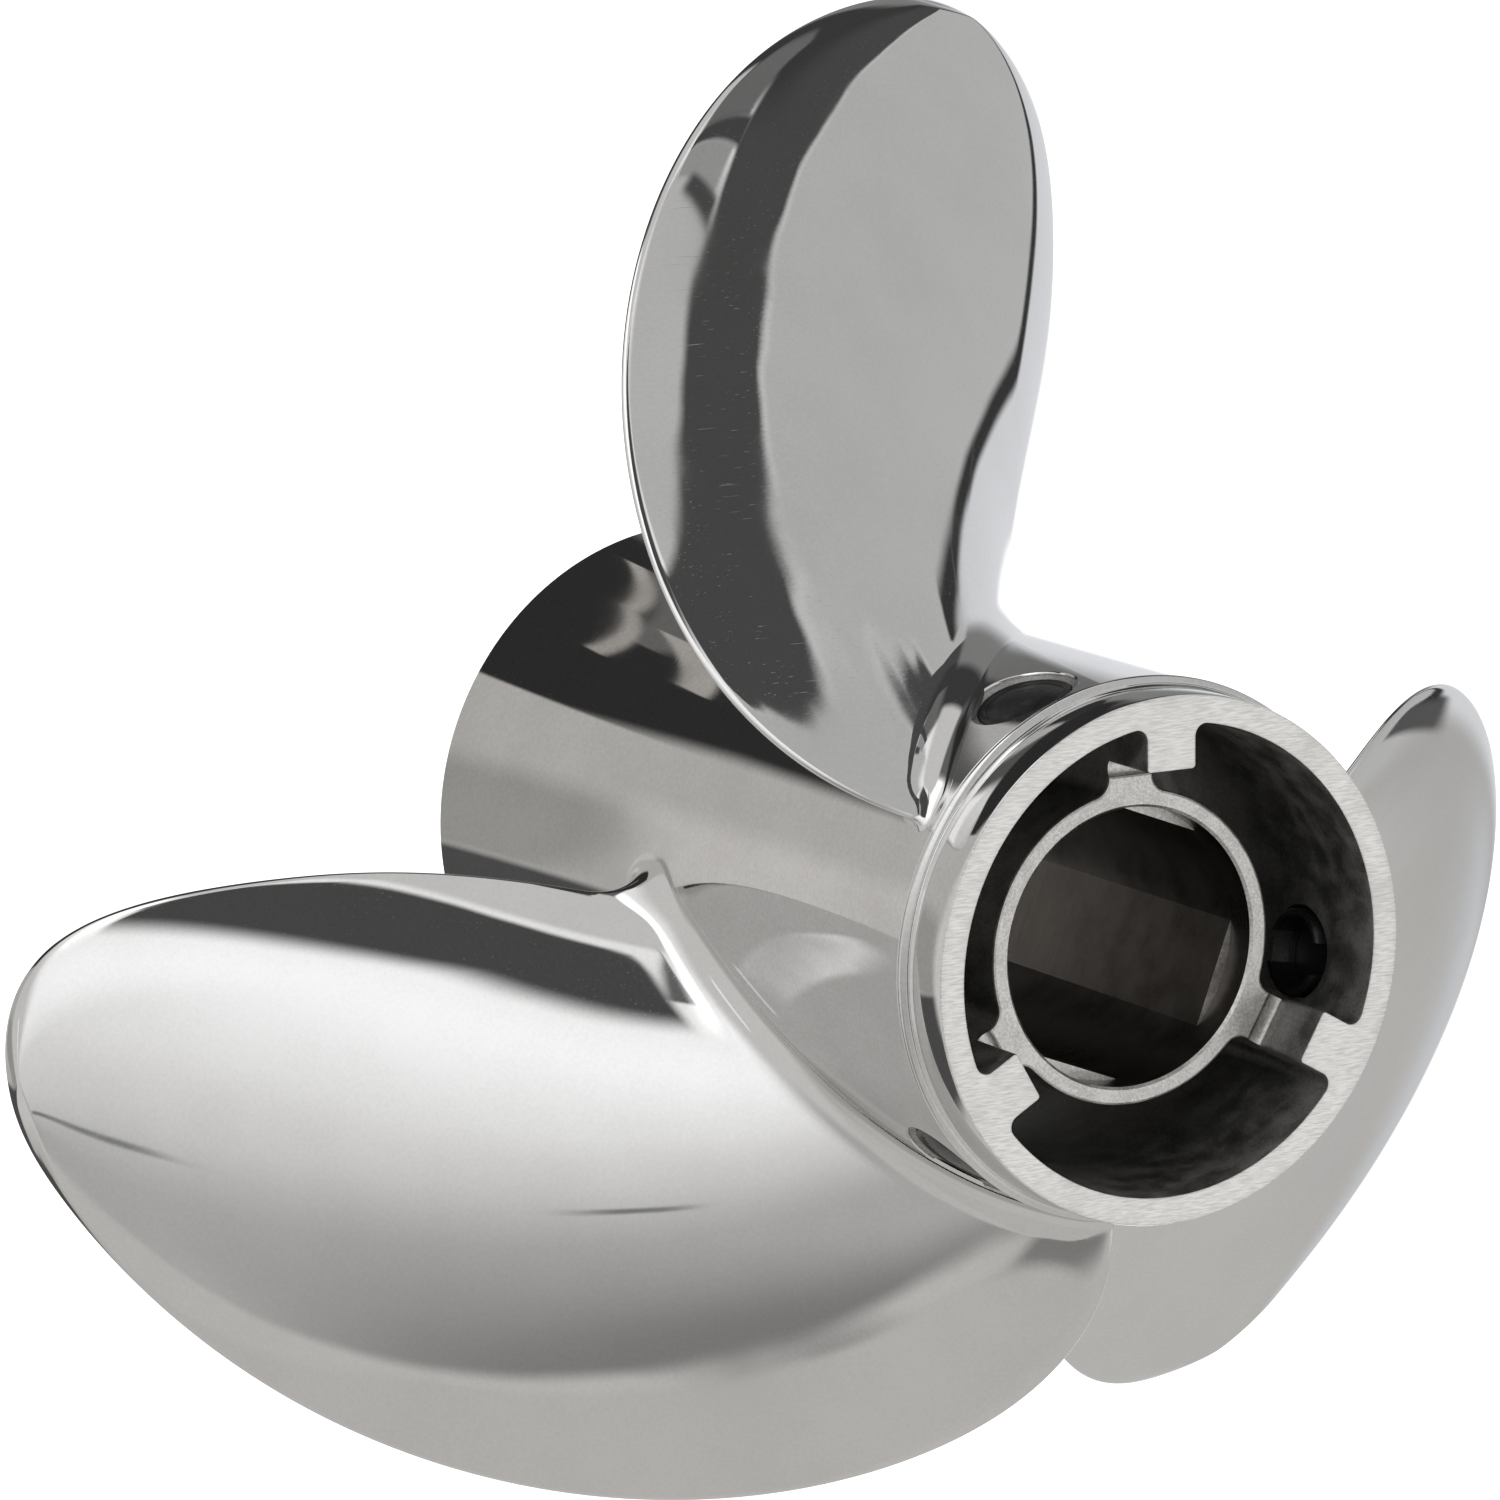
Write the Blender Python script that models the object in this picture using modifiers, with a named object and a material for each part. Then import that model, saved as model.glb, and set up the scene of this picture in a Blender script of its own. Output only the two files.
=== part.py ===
"""Right-hand, three-blade boat propeller with exhaust through the hub.

Metres, +Z up.  The hub's axis lies along Y: the front face, which meets the gearcase,
is the plane y = 0 and looks along -Y, and the hub runs back along +Y.

Every sub-part is modelled in the propeller's own frame, whose z axis is the hub's axis
pointing forward and whose x and y axes span the front face.  The empty PROPELLER_AXIS
turns that frame into the row's.  In it, z is minus the depth behind the front face, and
an angle is counted anticlockwise from +X as seen from the front.
"""
import math

import bmesh
import bpy
from mathutils import Matrix, Vector

# ---------------------------------------------------------------- driving dimensions
GAP = 0.0003                    # clearance that neighbouring solids keep
SECTORS = 3                     # blades, ribs, lugs and vents
SECTOR_ANGLE = 360.0 / SECTORS

# hub casting: depths are behind the front face
FACE_RADIUS = 0.0586            # spigot that enters the gearcase
FACE_CHAMFER = 0.0007
PASSAGE_RADIUS = 0.0523         # inside of the front collar
SPIGOT_DEPTH = 0.0115           # where the spigot ends and the bead starts
BEAD_RADIUS = 0.0606
BEAD_WIDTH = 0.0016
BEAD_GROOVE_DEPTH = 0.0005
HUB_RADIUS = 0.0603             # 4 3/4 in hub
HUB_LENGTH = 0.2151
FLARE_START = 0.100
FLARE = 0.0057                  # how far the rear lip stands out past the hub
FLARE_POWER = 2.2
WALL_START = 0.045              # the thick front wall thins from here
WALL_END = 0.090                # to here
WALL = 0.0042
LIP_WALL = 0.0028
DIFFUSER_DEPTH = 0.176          # where the flared diffuser ring starts
LIP_CHAMFER = 0.0005            # on the diffuser's rear edge
INNER_STEP = 0.130              # depth of an extra ring on the inner wall, for its curve
HUB_SEGMENTS = 72

# inner tube that carries the drive hub kit
TUBE_RADIUS = 0.0351
TUBE_FRONT = 0.0166
TUBE_END = 0.165
BORE_RADIUS = 0.0311
COUNTERBORE_DEPTH = 0.0084      # round stretch before the four drive flats start
BLANK_RADIUS = 0.0246           # of the tube before it is bored
FLAT_DISTANCE = 0.0286          # from the axis to each of the four flats
FLAT_ANGLE = 69.0
TUBE_CHAMFER = 0.0006

# ribs between tube and barrel, and the lugs in front of them
RIB_ANGLE = 90.0
RIB_WIDTH = 0.0108
RIB_END = 0.150
LUG_WIDTH = 0.0124
LUG_INNER_RADIUS = 0.0419

# vent holes and their snap-in plugs
VENT_ANGLE = 110.0
VENT_DEPTH = 0.0283
VENT_RADIUS = 0.0108
VENT_RIM_RADIUS = 0.0123
PLUG_DOME = 0.0009
PLUG_CAP = 0.0026
PLUG_LEG_END = 0.0500           # radius that the snap legs reach in to
PLUG_LEG_WALL = 0.0016
PLUG_LEG_SLOT = 0.0036
PLUG_SEGMENTS = 40

# blades
PITCH = 0.4428                  # advance a turn
BLADE_DEPTH = 0.1065            # depth of the blade's mid surface at the reference point
REFERENCE_ANGLE = 100.0
REFERENCE_RADIUS = 0.120
RAKE = 0.546                    # depth gained for each unit of radius
RAKE_CURVE = 0.997              # and for each unit of its square, from the reference
# outline of the first blade, as the control points of a clamped cubic B-spline that runs
# from the leading edge's root round the tip to the trailing edge's root: radius, angle
OUTLINE = (
    (0.0590, 147.2), (0.0744, 149.8), (0.0966, 148.3), (0.1248, 138.6), (0.1573, 119.1), (0.1836, 96.5),
    (0.1955, 79.1), (0.1972, 72.7), (0.1861, 62.7), (0.1417, 58.2), (0.0840, 56.0), (0.0590, 63.0),
)
ROOT_THICKNESS = 0.0088
TIP_THICKNESS = 0.0026
LEADING_EDGE = 0.0014
TRAILING_EDGE = 0.0024
CAMBER = 0.0030                 # of the mid surface, greatest where the cup begins
CUP_START = 0.86                # fraction of the chord
SIDE_FILLET = 0.0065
NOSE_FILLET = 0.0032
TAIL_FILLET = 0.0130
FILLET_FOOT = 0.0004            # height at which the fillet is cut off
BLADE_ROWS = 20
CHORD_STATIONS = 14
ROOT_STRIPS = 4
SHORT_CHORD = 0.03              # sections shorter than this are thinned and flattened
HUB_FADE = 0.03                 # height by which a section no longer follows the flared hub

# cutters run past what they cut
PAST_FRONT = -0.010
PAST_REAR = 0.200
PAST_WALL = 0.004

# colour, roughness, metallic
STEEL = ((0.62, 0.62, 0.61), 0.12, 1.0)
CAST_STEEL = ((0.30, 0.29, 0.28), 0.45, 1.0)
PLASTIC = ((0.02, 0.02, 0.02), 0.45, 0.0)


# ---------------------------------------------------------------- scene and helpers
def clear_scene():
    for item in list(bpy.data.objects):
        bpy.data.objects.remove(item, do_unlink=True)


def make_collection(name):
    collection = bpy.data.collections.new(name)
    bpy.context.scene.collection.children.link(collection)
    return collection


def material(name, look):
    colour, roughness, metallic = look
    result = bpy.data.materials.new(name)
    result.use_nodes = True
    shader = result.node_tree.nodes["Principled BSDF"]
    shader.inputs["Base Color"].default_value = (*colour, 1.0)
    shader.inputs["Roughness"].default_value = roughness
    shader.inputs["Metallic"].default_value = metallic
    result.diffuse_color = (*colour, 1.0)
    return result


def add_part(name, mesh, look, smooth_angle=35.0):
    """Put a mesh in the parts collection under its node name, hung on the axis empty."""
    mesh.name = name
    part = bpy.data.objects.new(name, mesh)
    PARTS.objects.link(part)
    part.parent = AXIS
    mesh.materials.append(material(name, look))
    mesh.shade_smooth()
    mesh.set_sharp_from_angle(angle=math.radians(smooth_angle))
    return part


def add_cutter(name, mesh):
    cutter = bpy.data.objects.new(name, mesh)
    CUTTERS.objects.link(cutter)
    cutter.parent = AXIS
    cutter.hide_render = True
    cutter.display_type = "WIRE"
    return cutter


def boolean(part, cutter, operation):
    modifier = part.modifiers.new(cutter.name, "BOOLEAN")
    modifier.operation = operation
    modifier.solver = "EXACT"
    modifier.object = cutter


def profile_mesh(name, points):
    """A closed outline in the x-z half plane, for the Screw modifier."""
    mesh = bpy.data.meshes.new(name)
    edges = [(i, (i + 1) % len(points)) for i in range(len(points))]
    mesh.from_pydata([(radius, 0.0, -depth) for radius, depth in points], edges, [])
    return mesh


def turn(part, segments=HUB_SEGMENTS):
    screw = part.modifiers.new("Turn", "SCREW")
    screw.axis = "Z"
    screw.steps = segments
    screw.render_steps = segments
    screw.use_merge_vertices = True
    screw.merge_threshold = 0.00001
    screw.use_smooth_shade = True


def box_mesh(name, low, high):
    mesh = bpy.data.meshes.new(name)
    body = bmesh.new()
    bmesh.ops.create_cube(body, size=1.0)
    size = Vector(high) - Vector(low)
    middle = (Vector(high) + Vector(low)) / 2
    bmesh.ops.scale(body, vec=size, verts=body.verts)
    bmesh.ops.translate(body, vec=middle, verts=body.verts)
    body.to_mesh(mesh)
    body.free()
    return mesh


def cone_mesh(name, bottom_radius, top_radius, bottom, top, segments):
    """A cylinder or cone about +X that runs from x = bottom to x = top."""
    mesh = bpy.data.meshes.new(name)
    body = bmesh.new()
    bmesh.ops.create_cone(body, cap_ends=True, segments=segments, radius1=bottom_radius,
                          radius2=top_radius, depth=top - bottom)
    bmesh.ops.translate(body, vec=(0.0, 0.0, (top + bottom) / 2), verts=body.verts)
    bmesh.ops.rotate(body, cent=(0.0, 0.0, 0.0), matrix=Matrix.Rotation(math.pi / 2, 3, "Y"),
                     verts=body.verts)
    body.to_mesh(mesh)
    body.free()
    return mesh


def sector_turn(first_angle, index):
    """Rotation that carries the +X direction to the sector's angle."""
    return math.radians(first_angle + index * SECTOR_ANGLE)


# ---------------------------------------------------------------- hub casting
def hub_radius(depth):
    """Outer radius of the barrel and the diffuser at a depth behind the front face."""
    run = max(0.0, depth - FLARE_START) / (HUB_LENGTH - FLARE_START)
    return HUB_RADIUS + FLARE * run ** FLARE_POWER


def passage_radius(depth):
    """Inner radius of the barrel and the diffuser."""
    thin = min(1.0, max(0.0, (depth - WALL_START) / (WALL_END - WALL_START)))
    lip = min(1.0, max(0.0, (depth - WALL_END) / (HUB_LENGTH - WALL_END)))
    wall = (HUB_RADIUS - PASSAGE_RADIUS) * (1 - thin) + WALL * thin + (LIP_WALL - WALL) * lip
    return hub_radius(depth) - wall


def depths(start, end, steps):
    return [start + (end - start) * i / steps for i in range(steps + 1)]


def front_collar():
    profile = [
        (FACE_RADIUS - FACE_CHAMFER, 0.0), (FACE_RADIUS, FACE_CHAMFER), (FACE_RADIUS, SPIGOT_DEPTH),
        (PASSAGE_RADIUS, SPIGOT_DEPTH), (PASSAGE_RADIUS, FACE_CHAMFER), (PASSAGE_RADIUS + FACE_CHAMFER, 0.0),
    ]
    turn(add_part("front_collar", profile_mesh("front_collar", profile), STEEL))


def hub_barrel():
    start = SPIGOT_DEPTH + GAP
    groove = start + BEAD_WIDTH
    end = DIFFUSER_DEPTH - GAP
    outer = [(BEAD_RADIUS - BEAD_GROOVE_DEPTH, start), (BEAD_RADIUS, start + BEAD_WIDTH / 4),
             (BEAD_RADIUS, groove - BEAD_WIDTH / 4), (HUB_RADIUS - BEAD_GROOVE_DEPTH, groove),
             (HUB_RADIUS, groove + BEAD_WIDTH / 4)]
    outer += [(hub_radius(d), d) for d in depths(FLARE_START, end, 6)]
    inner = [(passage_radius(d), d) for d in (end, INNER_STEP, WALL_END, WALL_START, start)]
    barrel = add_part("hub_barrel", profile_mesh("hub_barrel", outer + inner), STEEL)
    turn(barrel)
    for index in range(SECTORS):
        vent_cutters(barrel, index)


def vent_cutters(barrel, index):
    """Radial hole with a bevelled rim."""
    hole = cone_mesh("vent_hole", VENT_RADIUS, VENT_RADIUS, PASSAGE_RADIUS - PAST_WALL,
                     HUB_RADIUS + PAST_WALL, PLUG_SEGMENTS)
    step = VENT_RIM_RADIUS - VENT_RADIUS
    rim = cone_mesh("vent_rim", VENT_RADIUS - step, VENT_RIM_RADIUS + step, HUB_RADIUS - 3 * step,
                    HUB_RADIUS + step, PLUG_SEGMENTS)
    for mesh in (hole, rim):
        cutter = add_cutter(f"{mesh.name}_{index + 1}", mesh)
        cutter.location = (0.0, 0.0, -VENT_DEPTH)
        cutter.rotation_euler = (0.0, 0.0, sector_turn(VENT_ANGLE, index))
        boolean(barrel, cutter, "DIFFERENCE")


def diffuser_ring():
    start = DIFFUSER_DEPTH
    outer = [(hub_radius(d), d) for d in depths(start, HUB_LENGTH - LIP_CHAMFER, 5)]
    lip = [(hub_radius(HUB_LENGTH) - LIP_CHAMFER, HUB_LENGTH)]
    inner = [(passage_radius(d), d) for d in (HUB_LENGTH, (start + HUB_LENGTH) / 2, start)]
    turn(add_part("diffuser_ring", profile_mesh("diffuser_ring", outer + lip + inner), STEEL))


def hub_tube():
    """Round tube with a counterbore in front of a bore that has four flats."""
    profile = [
        (TUBE_RADIUS - TUBE_CHAMFER, TUBE_FRONT), (TUBE_RADIUS, TUBE_FRONT + TUBE_CHAMFER),
        (TUBE_RADIUS, TUBE_END), (BLANK_RADIUS, TUBE_END), (BLANK_RADIUS, TUBE_FRONT),
    ]
    tube = add_part("hub_tube", profile_mesh("hub_tube", profile), CAST_STEEL)
    turn(tube)
    counterbore = bore_cutter("counterbore", TUBE_FRONT + COUNTERBORE_DEPTH)
    round_bore = bore_cutter("round_bore", PAST_REAR)
    square = FLAT_DISTANCE
    drive_bore = add_cutter("drive_bore", box_mesh("drive_bore", (-square, -square, -PAST_REAR),
                                                   (square, square, -PAST_FRONT)))
    drive_bore.rotation_euler = (0.0, 0.0, math.radians(FLAT_ANGLE))
    boolean(drive_bore, round_bore, "INTERSECT")
    boolean(tube, counterbore, "DIFFERENCE")
    boolean(tube, drive_bore, "DIFFERENCE")


def bore_cutter(name, end):
    """Cylinder of the bore's radius, from in front of the hub to a depth."""
    cutter = add_cutter(name, cone_mesh(name, BORE_RADIUS, BORE_RADIUS, PAST_FRONT, end, HUB_SEGMENTS))
    cutter.rotation_euler = (0.0, math.pi / 2, math.radians(FLAT_ANGLE))
    return cutter


def passage_solid():
    """The space between tube and barrel, less the clearance: ribs and lugs end on it."""
    outer = [(PASSAGE_RADIUS - GAP, PAST_FRONT)]
    outer += [(passage_radius(d) - GAP, d) for d in (WALL_START, WALL_END, INNER_STEP, PAST_REAR)]
    inner = [(TUBE_RADIUS + GAP, PAST_REAR), (TUBE_RADIUS + GAP, PAST_FRONT)]
    solid = add_cutter("passage", profile_mesh("passage", outer + inner))
    turn(solid)
    return solid


def ribs_and_lugs():
    passage = passage_solid()
    rib = ("rib", RIB_WIDTH / 2, TUBE_RADIUS - PAST_WALL, TUBE_FRONT, RIB_END, CAST_STEEL)
    lug = ("lug", LUG_WIDTH / 2, LUG_INNER_RADIUS, 0.0, TUBE_FRONT - GAP, STEEL)
    for name, half, inner, front, rear, look in (rib, lug):
        for index in range(SECTORS):
            mesh = box_mesh(name, (inner, -half, -rear), (HUB_RADIUS, half, -front))
            web = add_part(f"{name}_{index + 1}", mesh, look)
            web.rotation_euler = (0.0, 0.0, sector_turn(RIB_ANGLE, index))
            boolean(web, passage, "INTERSECT")


# ---------------------------------------------------------------- vent plugs
def vent_plugs():
    """Domed cap with two snap legs, drawn in place about +X and turned to each vent."""
    cap_radius = VENT_RADIUS - GAP
    top = HUB_RADIUS - 0.0004
    cap_bottom = top - PLUG_CAP
    leg_radius = cap_radius - 0.0006
    profile = [(0.0, top + PLUG_DOME), (cap_radius * 0.55, top + PLUG_DOME * 0.7), (cap_radius, top),
               (cap_radius, cap_bottom), (leg_radius, cap_bottom), (leg_radius, PLUG_LEG_END),
               (leg_radius - PLUG_LEG_WALL, PLUG_LEG_END), (leg_radius - PLUG_LEG_WALL, cap_bottom),
               (0.0, cap_bottom)]
    for index in range(SECTORS):
        name = f"vent_plug_{index + 1}"
        mesh = bpy.data.meshes.new(name)
        mesh.from_pydata([(radius, 0.0, height) for radius, height in profile],
                         [(i, i + 1) for i in range(len(profile) - 1)], [])
        plug = add_part(name, mesh, PLASTIC)
        turn(plug, PLUG_SEGMENTS)
        slot = add_cutter(f"leg_slot_{index + 1}",
                          box_mesh("leg_slot", (-2 * VENT_RADIUS, -PLUG_LEG_SLOT, PLUG_LEG_END - PAST_WALL),
                                   (2 * VENT_RADIUS, PLUG_LEG_SLOT, cap_bottom - GAP)))
        boolean(plug, slot, "DIFFERENCE")
        angle = sector_turn(VENT_ANGLE, index)
        for item in (plug, slot):
            item.location = (0.0, 0.0, -VENT_DEPTH)
            item.rotation_euler = (0.0, math.pi / 2, angle)


# ---------------------------------------------------------------- blades
def spline_point(controls, position):
    """Point of a clamped cubic B-spline, by de Boor's recurrence; position runs 0 to 1."""
    degree = 3
    spans = len(controls) - degree
    knots = [0.0] * degree + [i / spans for i in range(spans + 1)] + [1.0] * degree
    span = min(int(position * spans), spans - 1) + degree
    points = [Vector(controls[span - degree + i]) for i in range(degree + 1)]
    for level in range(1, degree + 1):
        for i in range(degree, level - 1, -1):
            low = knots[span - degree + i]
            high = knots[span + 1 + i - level]
            blend = (position - low) / (high - low)
            points[i] = points[i - 1].lerp(points[i], blend)
    return points[degree]


def tip_position():
    """Where along the outline the radius is greatest."""
    low, high = 0.0, 1.0
    for _ in range(60):
        third = (high - low) / 3
        if spline_point(OUTLINE, low + third).x < spline_point(OUTLINE, high - third).x:
            low += third
        else:
            high -= third
    return (low + high) / 2


def edge_angle(radius, root, tip):
    """Angle of the outline at a radius, between its root end and its tip."""
    for _ in range(50):
        middle = (root + tip) / 2
        if spline_point(OUTLINE, middle).x < radius:
            root = middle
        else:
            tip = middle
    return math.radians(spline_point(OUTLINE, (root + tip) / 2).y)


def blade_z(radius, angle):
    """Helical mid surface, raked back."""
    out = radius - REFERENCE_RADIUS
    turned = angle - math.radians(REFERENCE_ANGLE)
    return PITCH / (2 * math.pi) * turned - BLADE_DEPTH - RAKE * out - RAKE_CURVE * out * out


def camber(chord):
    """Mid surface's rise: slow from the leading edge, then down over the cup."""
    if chord < CUP_START:
        return CAMBER * math.sin(math.pi / 2 * chord / CUP_START)
    return CAMBER * (1 - ((chord - CUP_START) / (1 - CUP_START)) ** 2)


def section_loop(radius, leading, trailing, height):
    """Closed section on the cylinder of this radius, as (angle, z) pairs, nose first."""
    tip_radius = max(control[0] for control in OUTLINE)
    span = min(1.0, (radius - HUB_RADIUS) / (tip_radius - HUB_RADIUS))
    thickness = ROOT_THICKNESS + (TIP_THICKNESS - ROOT_THICKNESS) * span
    chord_length = radius * (leading - trailing)
    scale = min(1.0, chord_length / SHORT_CHORD)
    slope = PITCH / (2 * math.pi)
    across = Vector((-slope, radius)).normalized()
    along = Vector((radius, slope)).normalized()
    front, back = [], []
    for i in range(CHORD_STATIONS + 1):
        chord = (1 - math.cos(math.pi * i / CHORD_STATIONS)) / 2
        angle = leading + (trailing - leading) * chord
        middle = Vector((radius * angle, blade_z(radius, angle))) + across * camber(chord) * scale
        edge = LEADING_EDGE + (TRAILING_EDGE - LEADING_EDGE) * chord
        swell = max(0.0, thickness * scale - edge) * (4 * chord * (1 - chord)) ** 0.8
        fillet = fillet_width(SIDE_FILLET, height)
        if i == 0:
            nose = middle + along * (edge / 2 + fillet_width(NOSE_FILLET, height))
        elif i == CHORD_STATIONS:
            tail = middle - along * (edge / 2 + fillet_width(TAIL_FILLET, height))
        else:
            front.append(middle + across * (edge / 2 + swell + fillet))
            back.append(middle - across * (edge / 2 + fillet))
    return [(a / radius, z) for a, z in (nose, *front, tail, *reversed(back))]


def fillet_width(size, height):
    """Concave fillet: how far it stands out at a height above the hub."""
    if height >= size:
        return 0.0
    return size - math.sqrt(size * size - (size - height) ** 2)


def on_hub(angle, z, height):
    """Point at a height over the hub's skin, which is not quite a cylinder near the rear."""
    fade = max(0.0, 1 - height / HUB_FADE)
    radius = HUB_RADIUS + GAP + height + (hub_radius(-z) - HUB_RADIUS) * fade
    return Vector((radius * math.cos(angle), radius * math.sin(angle), z))


def blade_heights():
    """Heights of the sections over the hub: close in the fillet, then closing on the tip."""
    tip = spline_point(OUTLINE, tip_position()).x - HUB_RADIUS - GAP
    fillet = [0.0, FILLET_FOOT, 0.0012, 0.0025, 0.0045, 0.0075]
    start = fillet[-1]
    last = tip * 0.9995
    closing = [1 - (1 - i / BLADE_ROWS) ** 2 for i in range(1, BLADE_ROWS + 1)]
    return fillet + [start + (last - start) * part for part in closing]


def blade_mesh(name):
    tip = tip_position()
    body = bmesh.new()
    rows = []
    for height in blade_heights():
        shape_height = max(height, FILLET_FOOT)
        radius = HUB_RADIUS + GAP + height
        leading = edge_angle(radius, 0.0, tip)
        trailing = edge_angle(radius, 1.0, tip)
        loop = section_loop(radius, leading, trailing, shape_height)
        rows.append([body.verts.new(on_hub(angle, z, height)) for angle, z in loop])
    count = len(rows[0])
    for lower, upper in zip(rows, rows[1:]):
        for i in range(count):
            body.faces.new((lower[i], upper[i], upper[(i + 1) % count], lower[(i + 1) % count]))
    close_section(body, rows[0], ROOT_STRIPS)
    close_section(body, rows[-1], 1)
    bmesh.ops.recalc_face_normals(body, faces=body.faces)
    mesh = bpy.data.meshes.new(name)
    body.to_mesh(mesh)
    body.free()
    return mesh


def close_section(body, loop, strips):
    """Fill a section from nose to tail in strips that follow the hub's curve."""
    stations = CHORD_STATIONS - 1
    nose, tail = loop[0], loop[stations + 1]
    lines = []
    for i in range(1, stations + 1):
        front, back = loop[i], loop[-i]
        inner = [body.verts.new(between(front.co, back.co, j / strips)) for j in range(1, strips)]
        lines.append([front, *inner, back])
    for line, following in zip(lines, lines[1:]):
        for j in range(strips):
            body.faces.new((line[j], following[j], following[j + 1], line[j + 1]))
    for j in range(strips):
        body.faces.new((nose, lines[0][j], lines[0][j + 1]))
        body.faces.new((tail, lines[-1][j + 1], lines[-1][j]))


def between(start, end, fraction):
    """Point between two others that keeps their distance from the axis."""
    point = start.lerp(end, fraction)
    radius = start.xy.length + (end.xy.length - start.xy.length) * fraction
    flat = point.xy.normalized() * radius
    return Vector((flat.x, flat.y, point.z))


def blades():
    for index in range(SECTORS):
        name = f"blade_{index + 1}"
        blade = add_part(name, blade_mesh(name), STEEL, smooth_angle=50.0)
        blade.rotation_euler = (0.0, 0.0, math.radians(index * SECTOR_ANGLE))


clear_scene()
PARTS = make_collection("boat_propeller")
CUTTERS = make_collection("cutters")
AXIS = bpy.data.objects.new("PROPELLER_AXIS", None)
bpy.context.scene.collection.objects.link(AXIS)
AXIS.rotation_euler = (math.pi / 2, 0.0, 0.0)
front_collar()
hub_barrel()
diffuser_ring()
hub_tube()
ribs_and_lugs()
vent_plugs()
blades()
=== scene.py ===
"""Looks of the boat propeller: polished casting, machined front ring, cast passages, vent plugs."""

import functools
import math

import bmesh
import bpy
import numpy as np
from mathutils import Matrix, Vector


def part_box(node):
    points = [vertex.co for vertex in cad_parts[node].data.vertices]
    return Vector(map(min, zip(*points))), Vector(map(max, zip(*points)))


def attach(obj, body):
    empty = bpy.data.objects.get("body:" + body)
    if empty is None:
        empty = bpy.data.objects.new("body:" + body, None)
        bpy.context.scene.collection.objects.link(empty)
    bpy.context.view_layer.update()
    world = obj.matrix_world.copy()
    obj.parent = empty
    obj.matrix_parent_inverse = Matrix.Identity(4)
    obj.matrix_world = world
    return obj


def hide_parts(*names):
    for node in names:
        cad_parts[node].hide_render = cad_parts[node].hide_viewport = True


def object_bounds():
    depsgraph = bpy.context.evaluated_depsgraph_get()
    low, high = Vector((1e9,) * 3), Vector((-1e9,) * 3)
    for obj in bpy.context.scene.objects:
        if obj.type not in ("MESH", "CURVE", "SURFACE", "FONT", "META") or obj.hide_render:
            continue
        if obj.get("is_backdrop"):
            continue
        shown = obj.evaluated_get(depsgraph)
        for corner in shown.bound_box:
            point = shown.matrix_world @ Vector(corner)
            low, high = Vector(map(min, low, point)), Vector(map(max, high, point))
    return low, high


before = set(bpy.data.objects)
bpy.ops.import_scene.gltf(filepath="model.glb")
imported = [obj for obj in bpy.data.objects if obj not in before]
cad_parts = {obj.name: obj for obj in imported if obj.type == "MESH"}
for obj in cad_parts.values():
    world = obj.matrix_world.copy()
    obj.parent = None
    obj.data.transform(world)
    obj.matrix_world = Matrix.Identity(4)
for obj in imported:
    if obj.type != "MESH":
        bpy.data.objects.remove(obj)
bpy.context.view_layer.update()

# The pieces are drawn in the propeller's own frame: z is the hub's axis pointing forward,
# so z is minus the depth behind the front face.  TO_ROW turns that into the row's frame.
TO_ROW = Matrix.Rotation(math.pi / 2, 4, "X")
SECTORS = 3
SECTOR = 2 * math.pi / SECTORS

# ---- sizes read from the frame
def half_width(node):
    low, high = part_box(node)
    return (high.x - low.x) / 2


FACE_RADIUS = half_width("front_collar")
SPIGOT_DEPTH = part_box("front_collar")[1].y
HUB_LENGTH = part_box("diffuser_ring")[1].y
DIFFUSER_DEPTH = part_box("diffuser_ring")[0].y
LIP_RADIUS = half_width("diffuser_ring")
TUBE_RADIUS = half_width("hub_tube")
TUBE_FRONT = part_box("hub_tube")[0].y
TUBE_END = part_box("hub_tube")[1].y
RIB_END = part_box("rib_1")[1].y
LUG_WIDTH = 2 * half_width("lug_1")
LUG_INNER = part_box("lug_1")[0].z
BODY = "propeller"

# ---- design sizes, as in the CAD
HUB_RADIUS = 0.0603
PASSAGE_RADIUS = 0.0523
FLARE_START = 0.100
FLARE_POWER = 2.2
FLARE = LIP_RADIUS - HUB_RADIUS
WALL_START, WALL_END = 0.045, 0.090
WALL, LIP_WALL = 0.0042, 0.0028
BORE_RADIUS = 0.0311
COUNTERBORE_DEPTH = 0.0084
FLAT_DISTANCE = 0.0286
FLAT_ANGLE = math.radians(69.0)
RIB_ANGLE = math.radians(90.0)
VENT_ANGLE = math.radians(110.0)
VENT_DEPTH = 0.0283
VENT_RADIUS = 0.0108
VENT_RIM_RADIUS = 0.0123
PITCH = 0.4428
BLADE_DEPTH = 0.1065
REFERENCE_ANGLE = math.radians(100.0)
REFERENCE_RADIUS = 0.120
RAKE, RAKE_CURVE = 0.546, 0.997
# control points of the blade's outline, as (radius, angle in degrees)
OUTLINE = (
    (0.0590, 147.2), (0.0744, 149.8), (0.0966, 148.3), (0.1248, 138.6), (0.1573, 119.1),
    (0.1836, 96.5), (0.1955, 79.1), (0.1972, 72.7), (0.1861, 62.7), (0.1417, 58.2),
    (0.0840, 56.0), (0.0590, 63.0),
)
ROOT_THICKNESS, TIP_THICKNESS = 0.0088, 0.0026
LEADING_EDGE, TRAILING_EDGE = 0.0014, 0.0024
THICKNESS_POWER = 1.4  # how the blade thins out towards its tip
SWELL_POWER = 0.8  # how full the section is between its edges
THIN_CHORD = 0.03  # chords shorter than this are thinner in proportion
CAMBER = 0.0030
CUP_START = 0.86
SIDE_FILLET, NOSE_FILLET, TAIL_FILLET = 0.0065, 0.0032, 0.0130
NOSE_RUN, TAIL_RUN = 0.03, 0.05  # shares of the chord over which the fillet's size changes
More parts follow.
